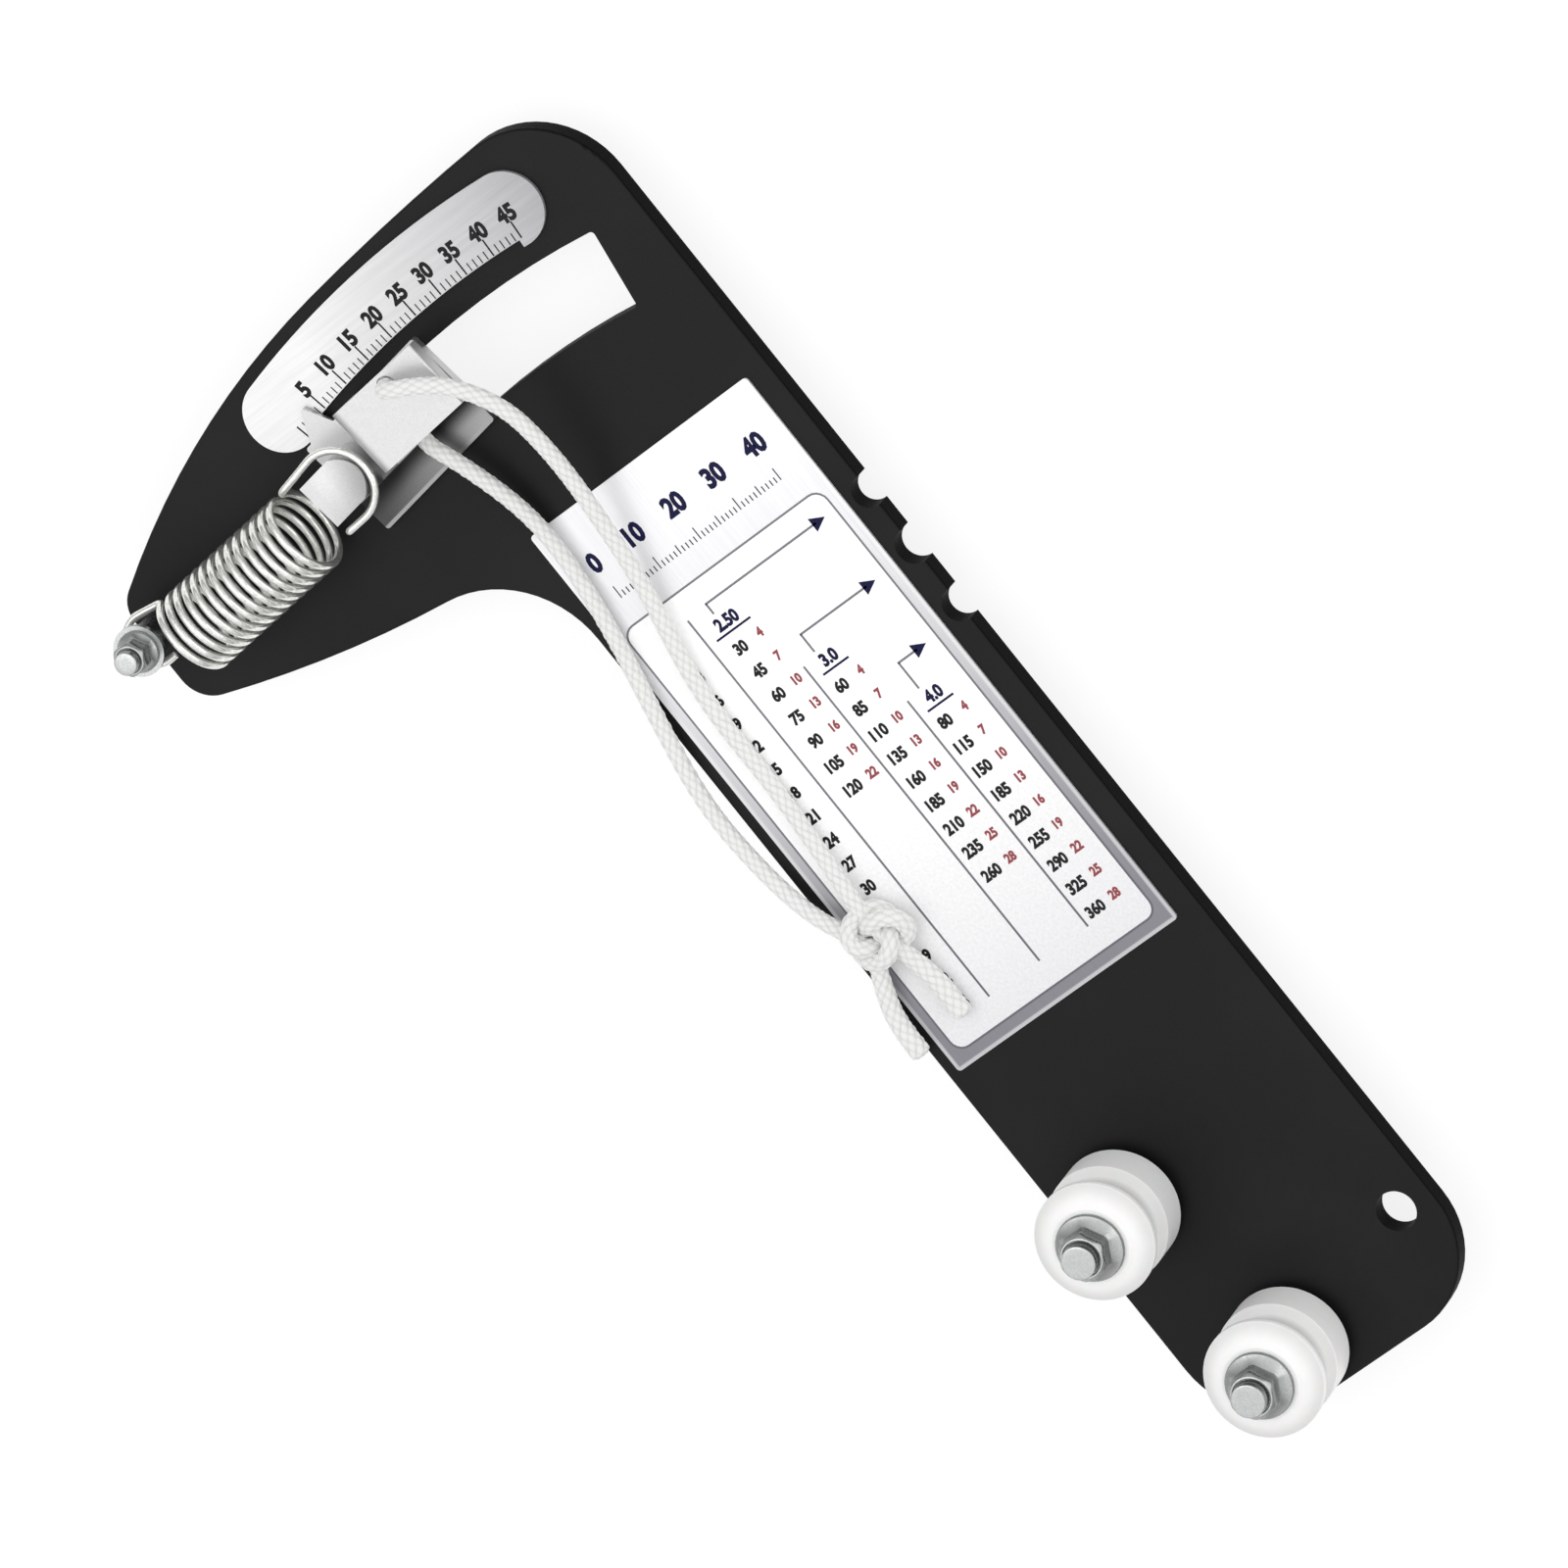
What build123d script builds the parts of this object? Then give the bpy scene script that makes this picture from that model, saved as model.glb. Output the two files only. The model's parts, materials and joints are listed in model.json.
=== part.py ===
from build123d import *
import os
from math import acos, asin, atan2, cos, degrees, hypot, pi, radians, sin, tan

# A rigging tension gauge: a flat plate with two grooved rollers that the wire weaves between, and a
# sprung slider on a curved slot that hooks the wire and reads its pull on a scale.
# Millimetres. The origin is the centre of the hang hole on the plate's front face, +X runs along the
# handle to the roller end, +Y to the right edge seen from the front, and +Z out of the front face.

# Body plate. Its lengths reach to the corners before they are rounded
plate_thick = 4.4
overall_length = 272.8
overall_width = 134.0
handle_width = 61.6
hang_hole_dia = 7.7
hole_to_end = 20.4
hole_to_edge = 7.7
handle_corner_radius = 18.0
head_corner_radius = 18.5
tip_outer_radius = 6.0
tip_inner_radius = 7.0
armpit_radius = 22.0
plate_edge_round = 0.6

# Head outline, measured in from the head's outer corner
tip_outer_drop = 28.0
tip_inner_drop = 50.0
outer_mid_drop = 11.8
outer_mid_in = 99.0
outer_join_drop = 3.85
outer_join_in = 64.0
inner_mid_drop = 58.6
inner_mid_in = 104.0
inner_root_drop = 64.3

# Wire gauge notches in the right edge, measured from the calibration plate's head end
notch_places = [29.4, 42.1, 55.4]
notch_dias = [6.3, 7.0, 6.5]
notch_depth = 3.4

# Calibration plate on the handle
label_length = 124.1
label_width = 54.2
label_thick = 0.5
label_from_end = 86.6
label_from_left = 2.6
label_corner_radius = 0.8

# Slot and scale, arcs about one centre
slot_radius = 170.0
slot_width = 15.8
slot_from_head = 30.7
arc_centre_from_edge = 38.1
slot_corner_radius = 0.8
scale_thick = 0.8
scale_gap = 11.5
scale_width = 14.6
scale_step = 1.5
scale_first_angle = -13.7
scale_last_angle = 5.15
scale_step_first = -12.2
scale_step_last = 4.8

# Rollers, measured from the roller end and from the handle's left edge
roller_end_gaps = [49.7, 11.7]
roller_side_gaps = [11.8, 21.1]
roller_radius = 11.4
roller_back_gap = 1.8
roller_width = 16.2
roller_front_rim = 1.5
roller_back_rim = 8.2
groove_floor_radius = 8.2
groove_front_run = 1.2
groove_back_run = 3.0
groove_sag = 0.3
face_rise = 2.3
face_hub_radius = 7.2
roller_edge_round = 0.4
bush_radius = 4.2
roller_running_gap = 0.05
roller_end_play = 0.1

# Flange bolts, nuts and washers: one set of sizes for the rollers, one for the spring anchor
bolt_radius = 3.0
bolt_hex = 8.4
bolt_head_height = 7.7
bolt_flange_radius = 6.5
bolt_flange_thick = 1.5
bolt_top_radius = 3.65
nut_hex = 10.0
nut_height = 5.0
washer_radius = 6.4
back_washer_thick = 1.2
thread_past_nut = 1.2
hole_clearance = 0.2
bush_bore_gap = 0.05

anchor_radius = 2.0
anchor_hex = 5.9
anchor_head_height = 6.8
anchor_flange_radius = 4.0
anchor_flange_thick = 1.2
anchor_top_radius = 2.5
anchor_nut_hex = 7.0
anchor_nut_height = 3.2
anchor_washer_radius = 4.9
anchor_washer_thick = 0.9
anchor_spacer_radius = 3.5
anchor_spacer_length = 14.4
anchor_from_tip = 5.7
anchor_from_head = 35.1

# Slider bracket. Its own axes: u points from the slot to the arc's centre, v along the slot.
# The bracket sits a little askew on the slot, and its hook a little more
slider_rest_angle = 9.31
slider_travel_angle = 17.9
bracket_turn = -1.3
foot_length = 31.3
foot_u_out = 10.2
foot_u_in = 10.5
foot_thick = 2.0
foot_gap = 0.1
index_reach = 5.5
index_base_from_end = 1.5
index_base = 6.6
index_tip_from_end = 5.2
index_thick = 0.9
post_width = 9.6
post_round = 5.6
post_u = -1.1
post_crest_from_end = 9.2
post_wall = 3.2
post_top_z = 12.7
post_cap = 1.7
post_overhang = 10.2
post_shoulder = 8.0
post_shoulder_drop = 2.4
post_edge_round = 0.6
hook_u_out = 10.2
hook_u_in = 3.8
hook_web_from_end = 13.0
hook_turn = -3.0
hook_length = 22.2
hook_top_z = 12.5
hook_wall = 1.6
hook_web = 2.6
hook_bend = 2.4
hook_lip = 1.2
hook_corner_radius = 0.6
lanyard_hole_dia = 3.8
lanyard_hole_u = -7.6
lanyard_hole_from_web = 13.2

# Guide block in the slot, keeper on the back and their screws
guide_length = 16.0
guide_from_end = 0.45
guide_side_gap = 0.1
keeper_thick = 2.0
keeper_gap = 0.1
keeper_overlap = 3.0
screw_radius = 1.5
screw_head_radius = 2.8
screw_head_height = 1.8
screw_spacing = 9.0
screw_grip = 1.6

# Tension spring with a side hook at each end, so that its coil lies beside the line of pull
wire_dia = 1.5
coil_radius = 7.7
coil_spacing = 2.06
anchor_leg_length = 7.6
post_leg_length = 10.2
coil_shift_at_anchor = 4.3
coil_shift_at_post = 1.8
spring_axis_z = 9.5
anchor_hook_radius = 5.0
post_hook_radius = 7.2
hook_seat_gap = 0.1
hook_bend_radius = 1.5
anchor_hook_tail = 1.5
post_hook_tail = 6.5

# Lanyard
cord_dia = 3.1
knot_size = (12.4, 14.0, 8.0)
knot_centre = (-95.7, -45.6, 4.8)
upper_route = [(-228.4, -48.3, 11.7), (-228.4, -48.3, 15.2), (-227.8, -45.9, 17.6), (-225.8, -41.7, 17.0),
               (-221.9, -36.6, 15.5), (-212.8, -32.0, 13.0), (-202.0, -32.0, 10.2), (-190.3, -33.8, 7.2),
               (-170.8, -37.6, 3.8), (-155.0, -42.1, 2.5), (-142.2, -43.5, 2.3), (-128.4, -43.2, 2.35),
               (-113.1, -44.1, 2.8), (-99.5, -44.5, 4.6)]
lower_route = [(-228.4, -48.3, 11.7), (-228.4, -48.3, 8.3), (-226.2, -48.7, 6.1), (-221.8, -50.7, 5.8),
               (-216.1, -53.2, 6.0), (-209.5, -50.6, 5.2), (-198.3, -47.6, 3.8), (-189.1, -46.8, 2.8),
               (-176.9, -47.8, 2.3), (-162.7, -50.3, 2.4), (-150.9, -53.1, 2.3), (-132.8, -56.8, 2.35),
               (-116.5, -56.0, 2.4), (-104.9, -53.2, 3.3), (-98.0, -48.9, 4.4)]
first_tail_route = [(-93.0, -43.4, 4.4), (-86.3, -42.4, 2.8), (-80.3, -41.8, 2.3), (-74.3, -42.2, 2.4)]
second_tail_route = [(-93.4, -47.4, 4.4), (-86.3, -51.6, 2.9), (-79.8, -54.0, 2.35), (-72.7, -53.9, 2.4)]

# Places worked out from the sizes above
end_x = hole_to_end
edge_y = hole_to_edge
left_y = edge_y - handle_width
head_x = end_x - overall_length
tip_y = edge_y - overall_width
back_z = -plate_thick
arc_x = head_x + slot_from_head + slot_radius
arc_y = edge_y - arc_centre_from_edge
rollers = [(end_x - gap, left_y + side) for gap, side in zip(roller_end_gaps, roller_side_gaps)]
roller_top = roller_back_gap + roller_end_play + roller_width + face_rise
anchor_x, anchor_y = head_x + anchor_from_head, tip_y + anchor_from_tip
label_x = end_x - label_from_end - label_length
label_y = left_y + label_from_left


def on_arc(radius, angle):
    """Point at a radius from the arc's centre and an angle in degrees from the -X direction, + to +Y."""
    return (arc_x - radius * cos(radians(angle)), arc_y + radius * sin(radians(angle)))


def arc_band(inner, outer, first, last, low, high):
    """Solid between two radii and two angles of the slot's arc, from z = low to high."""
    mid = (first + last) / 2
    edges = [ThreePointArc(on_arc(outer, first), on_arc(outer, mid), on_arc(outer, last)),
             Line(on_arc(outer, last), on_arc(inner, last)),
             ThreePointArc(on_arc(inner, last), on_arc(inner, mid), on_arc(inner, first)),
             Line(on_arc(inner, first), on_arc(outer, first))]
    face = make_face(edges)
    return extrude(Pos(0, 0, low) * face, amount=high - low, dir=(0, 0, 1))


def disc(radius, x, y, low, high):
    """Round bar along Z from z = low to high."""
    return extrude(Pos(x, y, low) * Circle(radius), amount=high - low, dir=(0, 0, 1))


def save(solid, name):
    solid.label = name
    export_step(solid, f"parts/{name}.step")


def body_plate(slot_first, slot_last):
    """The black plate: outline of lines and arcs, rounded corners, then the slot, notches and holes."""
    outer_join = (head_x + outer_join_drop, edge_y - outer_join_in)
    tip_outer = (head_x + tip_outer_drop, tip_y)
    tip_inner = (head_x + tip_inner_drop, tip_y)
    root = (head_x + inner_root_drop, left_y)
    sweep_arc = ThreePointArc(tip_outer, (head_x + outer_mid_drop, edge_y - outer_mid_in), outer_join)
    head_corner = (head_x, edge_y)
    outline = [Line((end_x, left_y), (end_x, edge_y)),
               Line((end_x, edge_y), head_corner),
               TangentArc(outer_join, head_corner, tangent=sweep_arc % 1),
               sweep_arc,
               Line(tip_outer, tip_inner),
               ThreePointArc(tip_inner, (head_x + inner_mid_drop, edge_y - inner_mid_in), root),
               Line(root, (end_x, left_y))]
    face = make_face(outline)
    rounds = [((end_x, left_y), handle_corner_radius), ((end_x, edge_y), handle_corner_radius),
              (head_corner, head_corner_radius), (tip_outer, tip_outer_radius),
              (tip_inner, tip_inner_radius), (root, armpit_radius)]
    for (x, y), radius in rounds:
        corner = face.vertices().sort_by_distance((x, y, 0))[0]
        face = fillet(corner, radius)
    plate = extrude(Pos(0, 0, back_z) * face, amount=plate_thick, dir=(0, 0, 1))
    front = plate.faces().sort_by(Axis.Z)[-1]
    plate = fillet(front.outer_wire().edges(), plate_edge_round)
    slot = arc_band(slot_radius - slot_width / 2, slot_radius + slot_width / 2, slot_first, slot_last,
                    back_z - 1, 1)
    plate -= fillet(slot.edges().filter_by(Axis.Z), slot_corner_radius)
    for place, dia in zip(notch_places, notch_dias):
        plate -= disc(dia / 2, label_x + place, edge_y - notch_depth + dia / 2, back_z - 1, 1)
    plate -= disc(hang_hole_dia / 2, 0, 0, back_z - 1, 1)
    for x, y in rollers:
        plate -= disc(bolt_radius + hole_clearance, x, y, back_z - 1, 1)
    plate -= disc(anchor_radius + hole_clearance, anchor_x, anchor_y, back_z - 1, 1)
    return plate


def scale_plate():
    """Curved plate with rounded ends beside the slot. Between the ends its slot side steps back."""
    low = slot_radius + scale_gap
    mid = low + scale_width / 2
    plate = arc_band(low, low + scale_width, scale_first_angle, scale_last_angle, 0, scale_thick)
    for angle in (scale_first_angle, scale_last_angle):
        x, y = on_arc(mid, angle)
        plate += disc(scale_width / 2, x, y, 0, scale_thick)
    return plate - arc_band(low - 1, low + scale_step, scale_step_first, scale_step_last, -1, scale_thick + 1)


def calibration_plate():
    face = RectangleRounded(label_length, label_width, label_corner_radius)
    return extrude(Pos(label_x + label_length / 2, label_y + label_width / 2, 0) * face,
                   amount=label_thick, dir=(0, 0, 1))


def roller(x, y):
    """Grooved roller, revolved: a long back rim, a groove near the front with a hollow floor, a coned face."""
    low = roller_back_gap + roller_end_play
    high = low + roller_width
    floor_low = low + roller_back_rim + groove_back_run
    floor_high = high - roller_front_rim - groove_front_run
    bore = bush_radius + roller_running_gap
    rim = roller_radius
    profile = [Polyline((bore, low), (rim, low), (rim, low + roller_back_rim),
                        (groove_floor_radius, floor_low)),
               ThreePointArc((groove_floor_radius, floor_low),
                             (groove_floor_radius - groove_sag, (floor_low + floor_high) / 2),
                             (groove_floor_radius, floor_high)),
               Polyline((groove_floor_radius, floor_high), (rim, high - roller_front_rim), (rim, high),
                        (face_hub_radius, high + face_rise), (bore, high + face_rise), (bore, low))]
    face = make_face(profile)
    sharp = [v for v in face.vertices() if v.X > rim - 0.01]
    face = fillet(sharp, roller_edge_round)
    body = revolve(Plane.XZ * face, Axis.Z)
    return Pos(x, y, 0) * body


def tube(outer, inner, x, y, low, high):
    return disc(outer, x, y, low, high) - disc(inner, x, y, low - 1, high + 1)


def flange_bolt(x, y, seat, foot, shank, hexagon, head, flange, flange_thick, top):
    """Bolt with its flange on z = seat and its shank down to z = foot; the head's top edge is turned off."""
    crown = seat + head
    cone = revolve(Plane.XZ * make_face(Polyline((0, seat), (flange, seat), (flange, seat + flange_thick / 2),
                                                 (hexagon / 2, seat + flange_thick + 0.4),
                                                 (0, seat + flange_thick + 0.4), (0, seat))), Axis.Z)
    prism = extrude(Pos(0, 0, seat) * RegularPolygon(hexagon / 2, 6, major_radius=False), amount=head)
    corner = hexagon / 2 / cos(pi / 6)
    slope = (corner - top) * tan(radians(38))
    turned = revolve(Plane.XZ * make_face(Polyline((0, seat), (corner + 1, seat),
                                                   (corner + 1, crown - slope - 0.7), (top, crown),
                                                   (0, crown), (0, seat))), Axis.Z)
    bolt = cone + (prism & turned) + disc(shank, 0, 0, foot, seat)
    tip = bolt.faces().sort_by(Axis.Z)[0].edges()
    return Pos(x, y, 0) * chamfer(tip, shank * 0.2)


def nut(x, y, top, height, hexagon, bore):
    """Hex nut hanging under z = top, its outer corners turned off."""
    prism = extrude(Pos(0, 0, top - height) * RegularPolygon(hexagon / 2, 6, major_radius=False), amount=height)
    corner = hexagon / 2 / cos(pi / 6)
    drop = (corner - hexagon / 2) * tan(radians(30))
    turned = revolve(Plane.XZ * make_face(Polyline((0, top), (corner, top), (corner, top - height + drop),
                                                   (hexagon / 2, top - height), (0, top - height), (0, top))),
                     Axis.Z)
    return Pos(x, y, 0) * ((prism & turned) - disc(bore, 0, 0, top - height - 1, top + 1))


# Slider bracket in its own axes, then set on the arc
foot_v = -foot_length / 2
slot_place = Pos(arc_x, arc_y, 0) * Rot(0, 0, slider_rest_angle) * Pos(-slot_radius, 0, 0)
slider_place = slot_place * Rot(0, 0, bracket_turn)
crest_v = foot_v + post_crest_from_end
web_v = foot_v + hook_web_from_end
post_round_v = crest_v - post_round
hook_middle = Pos((hook_u_in - hook_u_out) / 2, web_v + hook_length / 2, 0)
hook_place = hook_middle * Rot(0, 0, hook_turn) * hook_middle.inverse()


def bracket_profile(points):
    """Face in the v-z plane of the slider, for a bar that runs along u."""
    return make_face(Polyline(*points, close=True))


def wire_hook():
    """C that opens along the slot: web, rounded bend, top and a small lip at the free end."""
    top = hook_top_z
    under = top - hook_wall
    free = web_v + hook_length
    low = foot_gap + foot_thick
    face = bracket_profile([(web_v, low), (web_v, top), (free, top), (free, under - hook_lip),
                            (free - hook_wall, under - hook_lip), (free - hook_wall, under),
                            (web_v + hook_web, under), (web_v + hook_web, low)])
    bar = extrude(Plane.YZ * face, amount=hook_u_in + hook_u_out, dir=(1, 0, 0))
    bar = Pos(-hook_u_out, 0, 0) * bar
    along_u = bar.edges().filter_by(Axis.X)
    bend = along_u.sort_by_distance((0, web_v, top))[0]
    bar = fillet(bend, hook_bend)
    inner = bar.edges().filter_by(Axis.X).sort_by_distance((0, web_v + hook_web, under))[0]
    bar = fillet(inner, hook_wall / 2)
    lip = bar.edges().filter_by(Axis.X).sort_by_distance((0, free, top))[0]
    return hook_place * fillet(lip, hook_wall / 3)


def spring_post():
    """Post that the spring hook pulls on: D shaped in plan, its top bent over away from the pull.

    The top is level at its free end and falls off in an arc to the crest, so it has a rounded shoulder.
    """
    low = foot_gap + foot_thick
    top = post_top_z
    under = top - post_cap
    cap_end = crest_v - post_overhang
    level_end = crest_v - post_shoulder
    shoulder = top - post_shoulder_drop
    slope = 2 * atan2(post_shoulder_drop, post_shoulder)
    arc_radius = post_shoulder / sin(slope)
    arc_mid = (level_end + arc_radius * sin(slope / 2), top - arc_radius * (1 - cos(slope / 2)))
    face = make_face([Line((cap_end, top), (level_end, top)),
                      ThreePointArc((level_end, top), arc_mid, (crest_v, shoulder)),
                      Polyline((crest_v, shoulder), (crest_v, low), (crest_v - post_wall, low),
                               (crest_v - post_wall, shoulder - post_cap), (level_end, under), (cap_end, under),
                               (cap_end, top))])
    bar = extrude(Plane.YZ * face, amount=post_width, dir=(1, 0, 0))
    bar = Pos(post_u - post_width / 2, 0, 0) * bar
    crown = bar.edges().filter_by(Axis.X).sort_by_distance((post_u, crest_v, shoulder))[0]
    bar = fillet(crown, post_edge_round)
    plan = disc(post_round, post_u, post_round_v, 0, top + 1)
    length = post_round_v - cap_end + 1
    plan += extrude(Pos(post_u, post_round_v - length / 2, 0) * Rectangle(post_width, length), amount=top + 1)
    return bar & plan


def slider_bracket():
    foot = extrude(Pos((foot_u_in - foot_u_out) / 2, 0, foot_gap)
                   * Rectangle(foot_u_in + foot_u_out, foot_length), amount=foot_thick)
    foot = fillet(foot.edges().filter_by(Axis.Z), hook_corner_radius)
    tip_v = foot_v + index_tip_from_end
    base_low = foot_v + index_base_from_end
    index = make_face(Polyline((-foot_u_out + 1, base_low), (-foot_u_out, base_low),
                               (-foot_u_out - index_reach, tip_v - 0.3),
                               (-foot_u_out - index_reach, tip_v + 0.3),
                               (-foot_u_out, base_low + index_base), (-foot_u_out + 1, base_low + index_base),
                               close=True))
    foot += extrude(Pos(0, 0, foot_gap + foot_thick - index_thick) * index, amount=index_thick)
    body = foot + wire_hook() + spring_post()
    hole_v = web_v + lanyard_hole_from_web
    hole = disc(lanyard_hole_dia / 2, lanyard_hole_u, hole_v, foot_gap + foot_thick + 1, hook_top_z + 1)
    body -= hook_place * hole
    for v in screw_places():
        body -= disc(screw_radius, 0, v, foot_gap - 1, foot_gap + screw_grip)
    return slider_place * body


def guide_centre():
    return foot_v + guide_from_end + guide_length / 2


def screw_places():
    return [guide_centre() - screw_spacing / 2, guide_centre() + screw_spacing / 2]


def guide_angles():
    """First and last angle of the guide block on the arc, in degrees."""
    middle = degrees(guide_centre() / slot_radius) - slider_rest_angle
    half = degrees(guide_length / 2 / slot_radius)
    return middle - half, middle + half


def slider_guide():
    first, last = guide_angles()
    half = slot_width / 2 - guide_side_gap
    block = arc_band(slot_radius - half, slot_radius + half, first, last, back_z - keeper_gap, foot_gap)
    block = fillet(block.edges().filter_by(Axis.Z), slot_corner_radius)
    for v in screw_places():
        block -= slider_place * disc(screw_radius, 0, v, back_z - 1, 1)
    return block


def slider_keeper():
    """Plate on the back that overlaps both sides of the slot."""
    width = slot_width + 2 * keeper_overlap
    plate = extrude(Pos(0, guide_centre(), back_z - keeper_gap - keeper_thick)
                    * RectangleRounded(width, guide_length + 2, 1.5), amount=keeper_thick)
    for v in screw_places():
        plate -= disc(screw_radius, 0, v, back_z - 5, back_z + 1)
    return slider_place * plate


def slider_screws():
    """Two round headed screws from the back, through keeper and guide into the foot."""
    seat = back_z - keeper_gap - keeper_thick
    screws = []
    for v in screw_places():
        shank = disc(screw_radius, 0, v, seat, foot_gap + screw_grip)
        head = disc(screw_head_radius, 0, v, seat - screw_head_height, seat)
        head = fillet(head.faces().sort_by(Axis.Z)[0].edges(), screw_head_height * 0.55)
        screws.append(slider_place * (shank + head))
    return Compound(children=screws)


def tension_spring():
    """Coil beside the line from the anchor to the post, and at each end a long open hook level with its axis.

    In the spring's own axes z runs along the coil, x to the hooks' straight legs and y is the gauge's +Z.
    """
    anchor = Vector(anchor_x, anchor_y, spring_axis_z)
    post = (slider_place * Pos(post_u, post_round_v, 0)).position
    post = Vector(post.X, post.Y, spring_axis_z)
    pull = (post - anchor).normalized()
    beside = pull.cross(Vector(0, 0, 1))
    foot = anchor + beside * coil_shift_at_anchor
    line = post + beside * coil_shift_at_post - foot
    frame = Plane(origin=foot, x_dir=Vector(0, 0, 1).cross(line), z_dir=line)
    wire_radius = wire_dia / 2
    # Whole turns, as many as the coil's length between the two legs has room for
    coil_length = line.length - anchor_leg_length - post_leg_length
    turns = round(coil_length / coil_spacing)
    pitch = coil_length / turns
    # The coil stops short of the level of the axis, so that the bend brings the hook's leg to that level
    lift = asin(hook_bend_radius / coil_radius)
    rise = pitch / (2 * pi * coil_radius)
    turned = 2 * pi * turns - 2 * lift
    coil = Edge.make_helix(pitch, pitch * turned / (2 * pi), coil_radius)
    coil = Pos(0, 0, anchor_leg_length + pitch * lift / (2 * pi)) * Rot(0, 0, degrees(lift)) * coil
    section = Plane(origin=coil @ 0, z_dir=coil % 0) * Circle(wire_radius)
    body = sweep(section, path=Wire([coil]), is_frenet=True)
    # Each hook's inner side seats on what it pulls: on the far side of the anchor's spacer or of the post
    anchor_slack = anchor_hook_radius - wire_radius - anchor_spacer_radius - hook_seat_gap
    post_slack = post_hook_radius - wire_radius - post_round - hook_seat_gap
    ends = [(-1, coil @ 0, coil % 0 * -1, anchor + pull * anchor_slack, anchor_hook_radius, anchor_hook_tail),
            (1, coil @ 1, coil % 1, post - pull * post_slack, post_hook_radius, post_hook_tail)]
    for side, point, heading, loop, radius, free_leg in ends:
        centre = frame.to_local_coords(loop)
        corner = point + heading * (hook_bend_radius / cos(rise))
        corner = Vector(corner.X, 0, corner.Z)
        # Where a straight leg from the corner touches the hook's circle
        reach = Vector(corner.X - centre.X, 0, corner.Z - centre.Z)
        touch = atan2(reach.Z, reach.X) + side * acos(radius / reach.length)
        leg_end = Vector(centre.X + radius * cos(touch), 0, centre.Z + radius * sin(touch))
        crest = Vector(centre.X, 0, centre.Z + side * radius)
        far_side = Vector(centre.X - radius, 0, centre.Z)
        free_end = Vector(centre.X - radius, 0, centre.Z - side * free_leg)
        leg = FilletPolyline(point, corner, leg_end, radius=hook_bend_radius * 0.9)
        path = Wire(leg.edges() + [ThreePointArc(leg_end, crest, far_side), Line(far_side, free_end)])
        section = Plane(origin=point, z_dir=heading) * Circle(wire_radius)
        body += sweep(section, path=path)
    return frame.location * body


def cord(route, name):
    """Cord tube: straight runs joined by tangent arcs, each as large as its two runs allow."""
    points = [Vector(*p) for p in route]
    radii = []
    for before, at, after in zip(points, points[1:], points[2:]):
        turn = radians((at - before).get_angle(after - at))
        shorter = min((at - before).length, (after - at).length)
        radii.append(0.45 * shorter / tan(turn / 2))
    path = FilletPolyline(*points, radius=radii)
    print(name, "length", round(path.length, 1), "radii", [round(r, 1) for r in radii])
    section = Plane(origin=path @ 0, z_dir=path % 0) * Circle(cord_dia / 2)
    return sweep(section, path=path)


def knot():
    """Plain egg shaped solid of the knot's outer size."""
    length, width, height = knot_size
    ball = scale(Sphere(0.5), by=(length, width, height))
    return Pos(*knot_centre) * ball


def main():
    os.makedirs("parts", exist_ok=True)
    first, last = guide_angles()
    play = degrees(guide_side_gap / slot_radius)
    save(body_plate(first - play, last + slider_travel_angle + play), "body_plate")
    save(scale_plate(), "scale_plate")
    save(calibration_plate(), "calibration_plate")
    under = back_z - back_washer_thick
    for name, (x, y) in zip(("inner_roller", "end_roller"), rollers):
        save(roller(x, y), name)
        save(tube(washer_radius, bolt_radius + hole_clearance, x, y, 0, roller_back_gap), name + "_spacer")
        seat = roller_top + roller_end_play
        save(tube(bush_radius, bolt_radius + bush_bore_gap, x, y, roller_back_gap, seat), name + "_bush")
        save(flange_bolt(x, y, seat, under - nut_height - thread_past_nut, bolt_radius, bolt_hex,
                         bolt_head_height, bolt_flange_radius, bolt_flange_thick, bolt_top_radius),
             name + "_bolt")
        save(tube(washer_radius, bolt_radius + hole_clearance, x, y, under, back_z), name + "_back_washer")
        save(nut(x, y, under, nut_height, nut_hex, bolt_radius), name + "_nut")
    bore = anchor_radius + hole_clearance
    washer_top = anchor_spacer_length + anchor_washer_thick
    anchor_under = back_z - anchor_washer_thick
    save(tube(anchor_spacer_radius, bore, anchor_x, anchor_y, 0, anchor_spacer_length), "anchor_spacer")
    save(tube(anchor_washer_radius, bore, anchor_x, anchor_y, anchor_spacer_length, washer_top),
         "anchor_washer")
    save(flange_bolt(anchor_x, anchor_y, washer_top, anchor_under - anchor_nut_height - thread_past_nut / 2,
                     anchor_radius, anchor_hex, anchor_head_height, anchor_flange_radius, anchor_flange_thick,
                     anchor_top_radius), "anchor_bolt")
    save(tube(anchor_washer_radius, bore, anchor_x, anchor_y, anchor_under, back_z), "anchor_back_washer")
    save(nut(anchor_x, anchor_y, anchor_under, anchor_nut_height, anchor_nut_hex, anchor_radius), "anchor_nut")
    save(slider_bracket(), "slider_bracket")
    save(slider_guide(), "slider_guide")
    save(slider_keeper(), "slider_keeper")
    save(slider_screws(), "slider_screws")
    save(tension_spring(), "tension_spring")
    save(cord(upper_route, "upper strand"), "lanyard_upper_strand")
    save(cord(lower_route, "lower strand"), "lanyard_lower_strand")
    save(cord(first_tail_route, "first tail"), "lanyard_first_tail")
    save(cord(second_tail_route, "second tail"), "lanyard_second_tail")
    save(knot(), "lanyard_knot")


main()
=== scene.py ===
"""Rigging tension gauge: its finishes, printed faces, bolts, spring and braided lanyard, and a studio.

Every piece is made round the fixed frame, in metres: the origin is the centre of the hang hole on the
plate's front, +X runs to the roller end, +Y to the notched edge and +Z out of the printed face.
"""

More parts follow.
